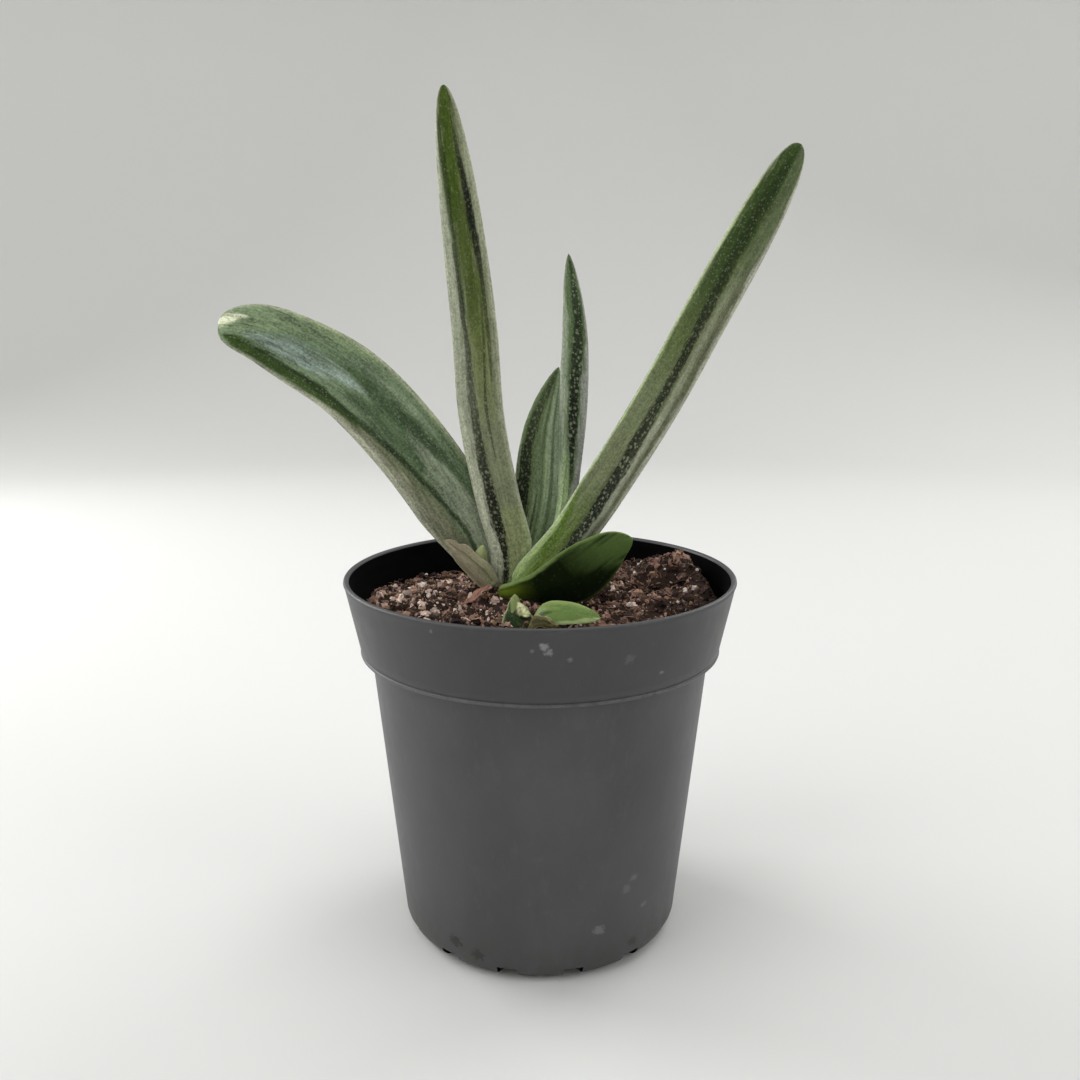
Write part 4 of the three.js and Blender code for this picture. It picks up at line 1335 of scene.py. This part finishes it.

# %% [markdown]
# ## The left leaf
# The broadest leaf arches to the left and shows its hollowed upper face. Its warts are finer, the wax
# gives it a blue-grey bloom near the end that is partly a painted reflection, and a dark green line
# follows the ridge above a pale facet, whose top just below the ridge is painted shade. Near the crown
# it is paler, partly its own colour and partly painted light.

# %% Left leaf
left = OLD_LEAF | dict(
    spine=[(-10.5, 2.8, 94), (-15.2, 3, 101.5), (-23.8, 2, 117.6), (-36.4, 0, 136), (-48.9, -3, 149.9),
           (-60.7, -7, 158), (-69.6, -10, 162.6), (-79.3, -12.4, 164.4)],
    across=[(0.85, -0.1, 0.5), (0.6, 0.35, 0.8)], width=20.5, root_width=10.5, fall=0.34, power=3.2,
    blunt=0.36, front=3.1, back=2.2, ridge_cut=0.6,
    ridge=[(0, -0.1), (0.17, 0), (0.3, -0.2), (0.36, -0.3), (0.5, -0.5), (0.62, -0.64), (0.75, -0.62),
           (1, -0.5)],
    grooves=[(0.1, 0.45, 0.45)], seed=307, sway=0.16, pitch=0.95, dot=0.27, wart=0.05, crowd=0.6,
    face="#6e8062", margin="#aeb29a",
    dotting=[(0, 1), (0.45, 0.8), (0.6, 0.3), (1, 0.15)],
    strokes=[
        # The paler root, partly its own colour and partly painted light against the crown's shade.
        ("#b9c29f", 0.9, [(0, 0.2, 1, 1), (0.06, 0.4, 0.9, 1), (0.1, 0.5, 0.6, 0.5), (0.14, 0.5, 0.4, 0)]),
        ("#a2ab93", 0.9, [(0, 0.4, 1), (0.1, 0.4, 0.6), (0.17, 0.4, 0.4), (0.24, 0.35, 0.2),
            (0.28, 0.3, 0.05)]),
        ("#8b967e", 0.85, [(0.14, 0.3, 0.3), (0.26, 0.2, 0.4), (0.36, 0.25, 0.3), (0.48, 0.25, 0.1)]),
        ("#80936f", 0.8, [(0.66, 0.85, 0.12), (0.78, 0.75, 0.3), (0.86, 0.6, 0.45), (0.95, 0.3, 0.8),
            (1, 0, 1)]),
        ("#5f7456", 0.7, [(0.6, 0.45, 0.15), (0.7, 0.4, 0.24), (0.78, 0.15, 0.3), (0.88, -0.05, 0.3)]),
        ("#4b6040", 0.8, [(0.38, -0.15, 0.12), (0.48, -0.18, 0.24), (0.58, -0.18, 0.18),
            (0.64, -0.28, 0.1)]),
        # The blue-grey bloom strokes, partly the wax's own colour and partly a painted reflection.
        ("#8fa097", 0.55, [(0.62, 0.05, 0.06), (0.68, 0, 0.14), (0.76, -0.1, 0.28), (0.84, -0.14, 0.3),
            (0.93, -0.2, 0.14)]),
        ("#a9bab6", 0.5, [(0.64, 0, 0.03), (0.7, -0.06, 0.07), (0.76, -0.12, 0.03)]),
        ("#a9bab6", 0.45, [(0.72, -0.26, 0.03), (0.79, -0.3, 0.07), (0.87, -0.32, 0.03)]),
        ("#a9bab6", 0.45, [(0.76, 0, 0.03), (0.83, -0.04, 0.07), (0.9, -0.1, 0.03)]),
        ("#465c3b", 0.8, [(0.26, 0.66, 0.05), (0.33, 0.56, 0.12), (0.39, 0.48, 0.17), (0.46, 0.36, 0.22),
            (0.52, 0.25, 0.24), (0.6, 0.22, 0.18), (0.68, 0.26, 0.06)]),
        ("#8b9c80", 0.6, [(0.4, 0.72, 0.04), (0.5, 0.66, 0.08), (0.6, 0.56, 0.06), (0.7, 0.5, 0.03)]),
        ("#5d7350", 0.5, [(0.15, 0.75, 0.1), (0.3, 0.75, 0.16), (0.42, 0.78, 0.1)]),
        ("#8a9b6e", 0.85, [(0.15, 1, 0.08), (0.5, 1, 0.12), (0.8, 1, 0.12), (0.95, 1, 0.06)]),
        ("#666c4e", 0.9, [(0, -0.6, 0.3), (0.17, -0.4, 0.3), (0.3, -0.45, 0.24), (0.5, -0.7, 0.16),
            (0.62, -0.78, 0.1), (0.7, -0.8, 0.04)]),
        ("#94967e", 0.95, [(0, -1, 0.5), (0.17, -1, 0.6), (0.3, -1, 0.5), (0.36, -1, 0.42), (0.5, -1, 0.3),
            (0.62, -1, 0.22), (0.75, -1, 0.16), (0.85, -1, 0.1)]),
        ("#bcbda9", 0.85, [(0.12, -1, 0.1), (0.3, -1, 0.2), (0.5, -1, 0.16), (0.7, -1, 0.12),
            (0.8, -1, 0.05)]),
        # Painted shade on the facet just below the ridge.
        ("#354c14", 0.95, [(0.58, -0.7, 0.06), (0.7, -0.72, 0.14), (0.8, -0.74, 0.2), (0.9, -0.72, 0.26),
            (0.97, -0.6, 0.2)]),
        ("#2a391d", 0.9, [(0, -0.1, 0.06), (0.17, 0, 0.06), (0.3, -0.2, 0.07), (0.36, -0.3, 0.07),
            (0.5, -0.5, 0.07), (0.62, -0.64, 0.07), (0.75, -0.62, 0.07), (0.9, -0.57, 0.07)]),
        ("#e6ebcb", 1, [(0.955, 0.5, 0.12), (0.975, 0.48, 0.3), (1, 0.4, 0.5)]),
    ],
    dark=[
        [(0.3, 0.6, 0.05, 0.3), (0.39, 0.48, 0.13, 0.5), (0.46, 0.38, 0.16, 0.5), (0.53, 0.26, 0.16, 0.4),
         (0.62, 0.2, 0.1, 0.3)],
    ],
    back_dark=back_bands(0.6),
)
left_leaf = grow_leaf("left_leaf", left, 176, 460)
blue_skin = leaf_skin("blue_green_skin", dark="#22331a", dots="#a3b19c", speckle=0.3, cell=(2.0, 1.2, 2.0),
                      mottling=0.6, patchiness=0.35)
hand_over(left_leaf, "leaf_left", blue_skin)

# %% [markdown]
# ## The two centre leaves
# The youngest leaves stand in the middle of the fan. The slim one has a pale left stripe and a black
# band set with pale warts; the shorter one behind it is dark along its left edge.

# %% Centre leaves
centre = OLD_LEAF | dict(
    spine=[(-4.6, 4.6, 94), (1, 5, 100), (6.2, 6, 112), (8.4, 7.6, 131.1), (9.2, 10, 149.7), (9.3, 12, 163),
           (7.6, 15.2, 183)],
    across=[(0.9, -0.3, 0), (1, -0.25, 0)], width=8.5, root_width=4, growth=0.7, fall=0.5, power=2.3,
    blunt=0.6, front=1.9, back=1.9,
    ridge=[(0, -0.35), (0.5, -0.3), (1, -0.1)],
    ridge_cut=0.5, grooves=[(0.28, 0.35, 0.2)], seed=401, sway=0.1, face="#566a45", margin="#a3a59a",
    horn=0.5,
    strokes=[
        ("#8f9983", 1, [(0, -1, 0.6), (0.3, -1, 0.6), (0.6, -1, 0.56), (0.8, -1, 0.5), (1, -1, 0.3)]),
        ("#5f7050", 0.85, [(0.36, -0.95, 0.1, 0), (0.42, -0.95, 0.26, 1), (0.49, -0.95, 0.2, 0.8),
            (0.55, -1, 0.1, 0)]),
        ("#b0c894", 1, [(0, 0, 1, 1), (0.2, -0.1, 0.9, 1), (0.3, -0.2, 0.7, 1), (0.38, -0.3, 0.4, 0.6),
            (0.46, -0.3, 0.2, 0)]),
        ("#9b9d97", 0.95, [(0, 1, 0.35), (0.3, 1, 0.45), (0.5, 1, 0.42), (0.65, 1, 0.35), (0.75, 1, 0.12),
            (1, 1, 0.1)]),
    ],
    dark=[
        [(0.24, 0.3, 0.08, 0), (0.32, 0.28, 0.12, 0.5), (0.4, 0.24, 0.16, 0.9), (0.47, 0.14, 0.26, 1),
         (0.55, 0.09, 0.33, 1), (0.64, 0.13, 0.34, 0.9), (0.82, 0.4, 0.36, 0.8), (0.97, 0.3, 0.3, 0.6)],
    ],
)
centre_leaf = grow_leaf("centre_leaf", centre, 96, 340)
dark_skin = leaf_skin("dark_warty_skin", dark="#070b06")
hand_over(centre_leaf, "leaf_centre", dark_skin)

centre_left = OLD_LEAF | dict(
    spine=[(-8.2, 6, 94), (-4.3, 8.4, 101), (-0.7, 10.2, 117), (0.1, 12.2, 129), (0.9, 13.2, 136.4),
           (2.2, 14.2, 142.5), (3.9, 15.2, 148.6), (5.2, 16, 153)],
    across=[(0.9, -0.2, 0), (1, 0.2, -0.1)], width=14.4, root_width=9, fall=0.3, power=2.1, blunt=0.7,
    front=2, back=2.1, ridge=[(0, 0.1), (1, 0.1)], ridge_cut=0.35,
    grooves=[(-0.6, 0.3, 0.15), (0.2, 0.3, 0.1)], seed=503, sway=0.08, face="#6b7c54", margin="#8a927f",
    horn=0.4,
    dotting=[(0, 0.2), (0.3, 0.4), (0.6, 0.7), (1, 0.6)],
    strokes=[
        ("#a0b086", 0.95, [(0, 0.2, 0.2), (0.3, 0.25, 0.18), (0.6, 0.32, 0.15), (0.9, 0.35, 0.15)]),
        ("#86977a", 0.5, [(0.1, -0.15, 0.05), (0.5, -0.12, 0.06), (0.9, 0, 0.06)]),
        ("#a6b79b", 0.9, [(0, 0.7, 0.3, 1), (0.3, 0.72, 0.3, 1), (0.6, 0.66, 0.3, 1), (0.75, 0.6, 0.3, 0.9),
            (0.9, 0.5, 0.3, 0.7), (1, 0.5, 0.3, 0.5)]),
        ("#9db38a", 0.75, [(0, 0.3, 0.8, 1), (0.3, 0.4, 0.6, 1), (0.5, 0.45, 0.5, 0.5),
            (0.65, 0.5, 0.4, 0)]),
        ("#4c5f3b", 0.7, [(0, 0.45, 0.05), (0.5, 0.5, 0.07), (0.9, 0.55, 0.04)]),
        ("#55694a", 0.6, [(0, 0.1, 0.04), (0.3, 0.1, 0.06), (0.7, 0.12, 0.04)]),
    ],
    dark=[
        [(0, -0.6, 0.3, 1), (0.3, -0.64, 0.3, 1), (0.43, -0.66, 0.28, 1), (0.64, -0.62, 0.24, 0.9),
         (0.8, -0.5, 0.24, 0.7), (0.97, -0.3, 0.3, 0.6)],
        [(0.02, -0.08, 0.05, 0.8), (0.3, -0.06, 0.05, 0.7), (0.45, -0.04, 0.03, 0.5)],
    ],
)
centre_left_leaf = grow_leaf("centre_left_leaf", centre_left, 112, 240)
hand_over(centre_left_leaf, "leaf_centre_left", dark_skin)

# %% [markdown]
# ## The front leaf
# A broad young leaf lies over to the right in front of the others. It is smooth, green and almost
# without warts. Its face turns down towards the soil and is painted very dark as painted shade, with a
# near-black painted shadow along its lower half. The bright margin along its upper edge is partly its
# own colour and partly a painted highlight.

# %% Front leaf
front = dict(
    spine=[(-11, -6.6, 94.8), (-4.6, -8, 96), (1.2, -9.4, 97.2), (8.2, -10.8, 99.9), (14.2, -12.2, 105.1),
           (18.9, -13, 108.9), (23.8, -13.6, 111.2)],
    across=[(0.3, 0.35, -0.9), (0.4, 0.32, -0.85)], width=18.4, root_width=5, growth=0.62, fall=0.34,
    power=2.2, blunt=0.6, front=1.5, back=1.5, ridge=[(0, 0), (1, 0)], ridge_cut=0.15,
    grooves=[(-0.82, -0.25, 0.12)], seed=601, sway=0.1, wart=0.02, furrow=0.015, pitch=1.7, crowd=0.3,
    # The face colour is darkened as painted shade.
    face="#16250b", margin="#708947", horn=0.6,
    strokes=[
        ("#678346", 0.9, [(0.52, -0.5, 0.3, 0), (0.7, -0.3, 0.6, 0.55), (0.85, 0, 0.9, 0.9), (1, 0, 1, 1)]),
        # Painted shadow along the lower half of the leaf.
        ("#13200f", 0.85, [(0.12, 1, 0.4), (0.3, 1, 0.75), (0.5, 1, 0.7), (0.65, 1, 0.45), (0.78, 1, 0.1)]),
        ("#7d952c", 0.95, [(0, 0, 1, 1), (0.05, 0, 1, 1), (0.12, 0, 1, 0.7), (0.2, -0.1, 0.9, 0.25),
            (0.28, -0.3, 0.7, 0)]),
        # The bright upper margin, partly its own colour and partly a painted highlight.
        ("#7e9455", 0.9, [(0, -1, 0.3), (0.1, -1, 0.22), (0.3, -1, 0.12), (0.5, -1, 0.07), (0.7, -1, 0.06),
            (0.97, -1, 0.07)]),
    ],
    back_strokes=[
        ("#6b842c", 0.8, [(0, 0, 1), (0.15, -0.5, 0.3), (0.3, -0.95, 0.1)]),
    ],
)
front_leaf = grow_leaf("front_leaf", front, 120, 140)
smooth_skin = leaf_skin("smooth_green_skin", dots="#6f8a5a", speckle=0.1, gloss=0.4, cell=(0.9, 0.7, 0.9),
                        mottling=0.16)
hand_over(front_leaf, "leaf_front", smooth_skin)

# %% [markdown]
# ## Broken leaves and dry remains
# Round the crown sit the small things that make a plant look lived in: a yellowing stub, a torn pup
# leaf with a pale, ragged cut, a small fresh pup leaf, a scrap that curls off the tear, a papery
# sheath and a strip of bark. They are leaves too, only small, thin or torn, so they are grown the same
# way. A nick pulls one margin in, a crumple makes the surface uneven, and a tear sinks a rough pit.

# %% Stub and pup leaves
LITTLE = dict(power=2, ridge=[(0, 0), (1, 0)], ridge_cut=0.2, grooves=[], wart=0.02)

stub = LITTLE | dict(
    spine=[(-15.4, -0.6, 96.8), (-16.2, -1.6, 102.4), (-15.2, -2.4, 107)],
    across=[(1, 0, 0), (1, 0, 0)], width=4.4, root_width=3, fall=0.35, blunt=0.55, front=1.3, back=1.2,
    seed=701, face="#7b8350", margin="#b1bb86",
    strokes=[
        # Painted shade: the lower half is dark green for the shadowed hollow beneath it.
        ("#4c5a26", 0.8, [(0, 0.2, 0.5), (0.35, 0.2, 0.5), (0.5, 0.2, 0.3)]),
        ("#b9c68c", 0.9, [(0.5, 0, 0.3), (0.7, 0, 0.9), (1, 0, 1)]),
    ],
)
stub_leaf = grow_leaf("stub_leaf", stub, 48, 60)
tender_skin = leaf_skin("tender_green_skin", dots="#a3b07c", speckle=0.08, gloss=0.42, mottling=0.2)
hand_over(stub_leaf, "leaf_stub", tender_skin)

torn = LITTLE | dict(
    spine=[(-4.6, -31.2, 89.5), (-5.6, -29.6, 95), (-6.2, -28, 100.6)],
    across=[(1, -0.1, 0), (1, -0.1, 0)], width=11, root_width=10.4, fall=0.1, power=1.15, blunt=0.72,
    front=1.7, back=1.5, ridge=[(0, -0.1), (1, -0.1)], ridge_cut=0.7, seed=751, furrow=0.04,
    face="#2c3f1b", margin="#a2a87c", sway=0.2,
    nicks=[(1, 0.8, 0.35, 0.1), (1, 0.6, 0.12, 0.05), (-1, 0.7, 0.12, 0.06)],
    strokes=[
        ("#25391f", 0.9, [(0.2, -0.4, 0.4), (0.45, -0.4, 0.34), (0.6, -0.4, 0.1)]),
        ("#2c3a1c", 0.9, [(0.2, 0.5, 0.5), (0.4, 0.5, 0.4), (0.46, 0.5, 0.1)]),
        ("#8b9a5f", 0.85, [(0.62, -0.3, 0.1), (0.74, -0.2, 0.45), (0.86, 0, 0.9), (1, 0, 1)]),
        ("#9aa274", 0.9, [(0, -1, 0.12), (0.9, -1, 0.16)]),
        ("#d8daaa", 0.95, [(0.48, 0.6, 0.2), (0.56, 0.55, 0.42), (0.68, 0.6, 0.4), (0.8, 0.7, 0.2)]),
    ],
    tear=0.8,
    tear_track=[(0.46, 0.6, 0.2), (0.56, 0.55, 0.42), (0.68, 0.6, 0.4), (0.78, 0.7, 0.2)],
)
torn_leaf = grow_leaf("torn_leaf", torn, 96, 120)
hand_over(torn_leaf, "pup_leaf_torn", tender_skin)

small = LITTLE | dict(
    spine=[(-2.6, -27.6, 90.8), (0.6, -29.6, 95.6), (6.6, -32.6, 96.9), (14.6, -35.4, 96.4)],
    across=[(0.2, -0.9, -0.6), (0.1, -0.8, -0.6)], width=7.2, root_width=2.4, growth=0.4, fall=0.45,
    blunt=0.6, front=0.9, back=0.9, grooves=[(0, 0.15, 0.3)], seed=801, sway=0.15, face="#5f783a",
    margin="#9aae70", horn=0.6,
    strokes=[
        ("#86985a", 0.9, [(0.1, -1, 0.5), (0.35, -1, 0.6), (0.6, -1, 0.5), (0.85, -1, 0.25)]),
        ("#2a4412", 0.9, [(0.08, 0.3, 0.3), (0.26, 0.2, 0.22), (0.42, 0.1, 0.06)]),
        ("#a3b27a", 0.9, [(0.35, 1, 0.1), (0.7, 1, 0.2), (0.9, 0.8, 0.4), (1, 0.5, 0.6)]),
    ],
)
small_leaf = grow_leaf("small_pup_leaf", small, 64, 90)
hand_over(small_leaf, "pup_leaf_small", tender_skin)

# %% [markdown]
# The dry remains are paper thin and curled. They could be planes with a Solidify modifier. Grown as
# leaves they get nicks, crumples and frayed strokes as well, and their edges are closed.

# %% Sheath, scrap and bark strip
DRY = LITTLE | dict(ridge_cut=0, wart=0)

sheath = DRY | dict(
    spine=[(-12.6, -4.4, 95.6), (-16, -4.4, 100.2), (-20.6, -2.8, 104.4), (-25.6, -1, 108)],
    across=[(0.55, 0.3, 0.8), (0.5, -0.1, 0.85)], width=6.6, root_width=5, fall=0.5, power=1.5, blunt=0.6,
    nicks=[(1, 0.5, 0.2, 0.12), (1, 0.8, 0.3, 0.05), (-1, 0.86, 0.25, 0.04)],
    front=0.45, back=0.4, curl=0.9, seed=901, furrow=0.05, sway=0.25, crumple=0.14, face="#8b846c",
    margin="#aba48d",
    strokes=[
        ("#9f9780", 0.7, [(0.1, -0.4, 0.15), (0.6, -0.3, 0.25), (1, -0.2, 0.3)]),
        ("#8a8f6c", 0.7, [(0, 0.3, 0.6, 1), (0.4, 0.4, 0.5, 0.7), (0.6, 0.5, 0.3, 0)]),
        ("#565040", 0.7, [(0.1, 0.3, 0.12), (0.5, 0.3, 0.1), (0.9, 0.25, 0.1)]),
    ],
)
sheath_piece = grow_leaf("papery_sheath", sheath, 72, 90)
paper_skin = leaf_skin("papery_skin", dots="#8b8068", speckle=0.15, gloss=0.75, mottling=0.3)
hand_over(sheath_piece, "dry_sheath", paper_skin)

scrap = DRY | dict(
    spine=[(-2.6, -33, 92.2), (-0.6, -34, 95.4), (4.6, -36.2, 94.4)],
    across=[(0.1, -0.6, -0.8), (0.1, -0.6, -0.8)], width=3.8, root_width=2.8, fall=0.2, blunt=0.6,
    front=0.45, back=0.45, curl=0.5, seed=921, furrow=0.05, sway=0.3, crumple=0.4, face="#5b5735",
    margin="#b3ab80", horn=0.9,
    nicks=[(-1, 0.5, 0.4, 0.06), (-1, 0.78, 0.35, 0.05)],
    strokes=[
        ("#2c2a16", 0.9, [(0.3, 0.1, 0.3), (0.6, 0.1, 0.35), (0.8, 0.1, 0.2)]),
        ("#9a9468", 0.8, [(0.2, -0.8, 0.15), (0.6, -0.8, 0.15), (0.9, -0.5, 0.2)]),
    ],
)
scrap_piece = grow_leaf("torn_scrap_piece", scrap, 48, 50)
hand_over(scrap_piece, "torn_scrap", paper_skin)

strip = DRY | dict(
    spine=[(-12.8, -9, 97.4), (-15.4, -10.8, 96.6), (-18.4, -13.8, 94.6), (-21.2, -16, 93.8)],
    across=[(0.7, -0.5, 0.3), (0.7, -0.5, 0.3)], width=3.2, root_width=1.8, fall=0.3, blunt=0.5,
    front=0.5, back=0.5, ridge_cut=0.3, seed=941, furrow=0.12, crumple=0.5, sway=0.3, face="#8a6658",
    margin="#a98a7c",
    nicks=[(1, 0.3, 0.5, 0.06), (-1, 0.55, 0.5, 0.06), (1, 0.8, 0.5, 0.08)],
    strokes=[
        ("#b98a74", 0.8, [(0, 0.3, 0.2), (0.5, 0.2, 0.3), (1, 0.3, 0.3)]),
    ],
)
strip_piece = grow_leaf("bark_strip_piece", strip, 40, 50)
bark_skin = leaf_skin("bark_skin", dots="#a87860", speckle=0.2, gloss=0.85, mottling=0.35)
hand_over(strip_piece, "bark_strip", bark_skin)

# %% [markdown]
# ## The stem
# The stem is short and hidden by the leaf roots: a tapering stump with a low ring for each old leaf.
# It is turned like the pot, from one circle whose rim is extruded and scaled ring by ring.

# %% Stem
stem_low, stem_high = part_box("stem")
STEM_X, STEM_Y = (stem_low.x + stem_high.x) / 2 / MM, (stem_low.y + stem_high.y) / 2 / MM
STEM_FOOT, STEM_TAPER = 5.0, 1.8
STEM_LIFT, STEM_SHORTER = 0.2, 0.8
STEM_SCARS, SCAR_HEIGHT, SCAR_RINGS = 5, 0.35, 6
stem_length = (stem_high.z - stem_low.z) / MM - STEM_SHORTER
rings = []
for i in range(STEM_SCARS * SCAR_RINGS + 1):
    share = i / (STEM_SCARS * SCAR_RINGS)
    scar = SCAR_HEIGHT * (0.5 - 0.5 * math.cos(share * STEM_SCARS * math.tau))
    radius = STEM_FOOT - STEM_TAPER * share + scar
    rings.append((radius, stem_low.z / MM + STEM_LIFT + share * stem_length))
stem = turn_profile("stem_stump", rings, 40)
bpy.ops.object.mode_set(mode="EDIT")
bpy.ops.transform.translate(value=(STEM_X * MM, STEM_Y * MM, 0))
bpy.ops.object.mode_set(mode="OBJECT")
bpy.ops.object.shade_smooth_by_angle(angle=math.radians(50))
paint(stem, "tint", np.full(len(stem.data.vertices), 0.5))
hand_over(stem, "stem", earth_finish("stem_bark", "#6a6a48", "#8d8a62", "#87885a", "#a8a27c", 1.5, 0.8))

dressed_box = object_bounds()
sizes = {"cad": [list(corner) for corner in cad_box], "dressed": [list(corner) for corner in dressed_box]}
for axis in range(3):
    low = (dressed_box[0][axis] - cad_box[0][axis]) / MM
    high = (cad_box[1][axis] - dressed_box[1][axis]) / MM
    print(f"axis {'XYZ'[axis]}: inside by {low:.2f} mm and {high:.2f} mm")
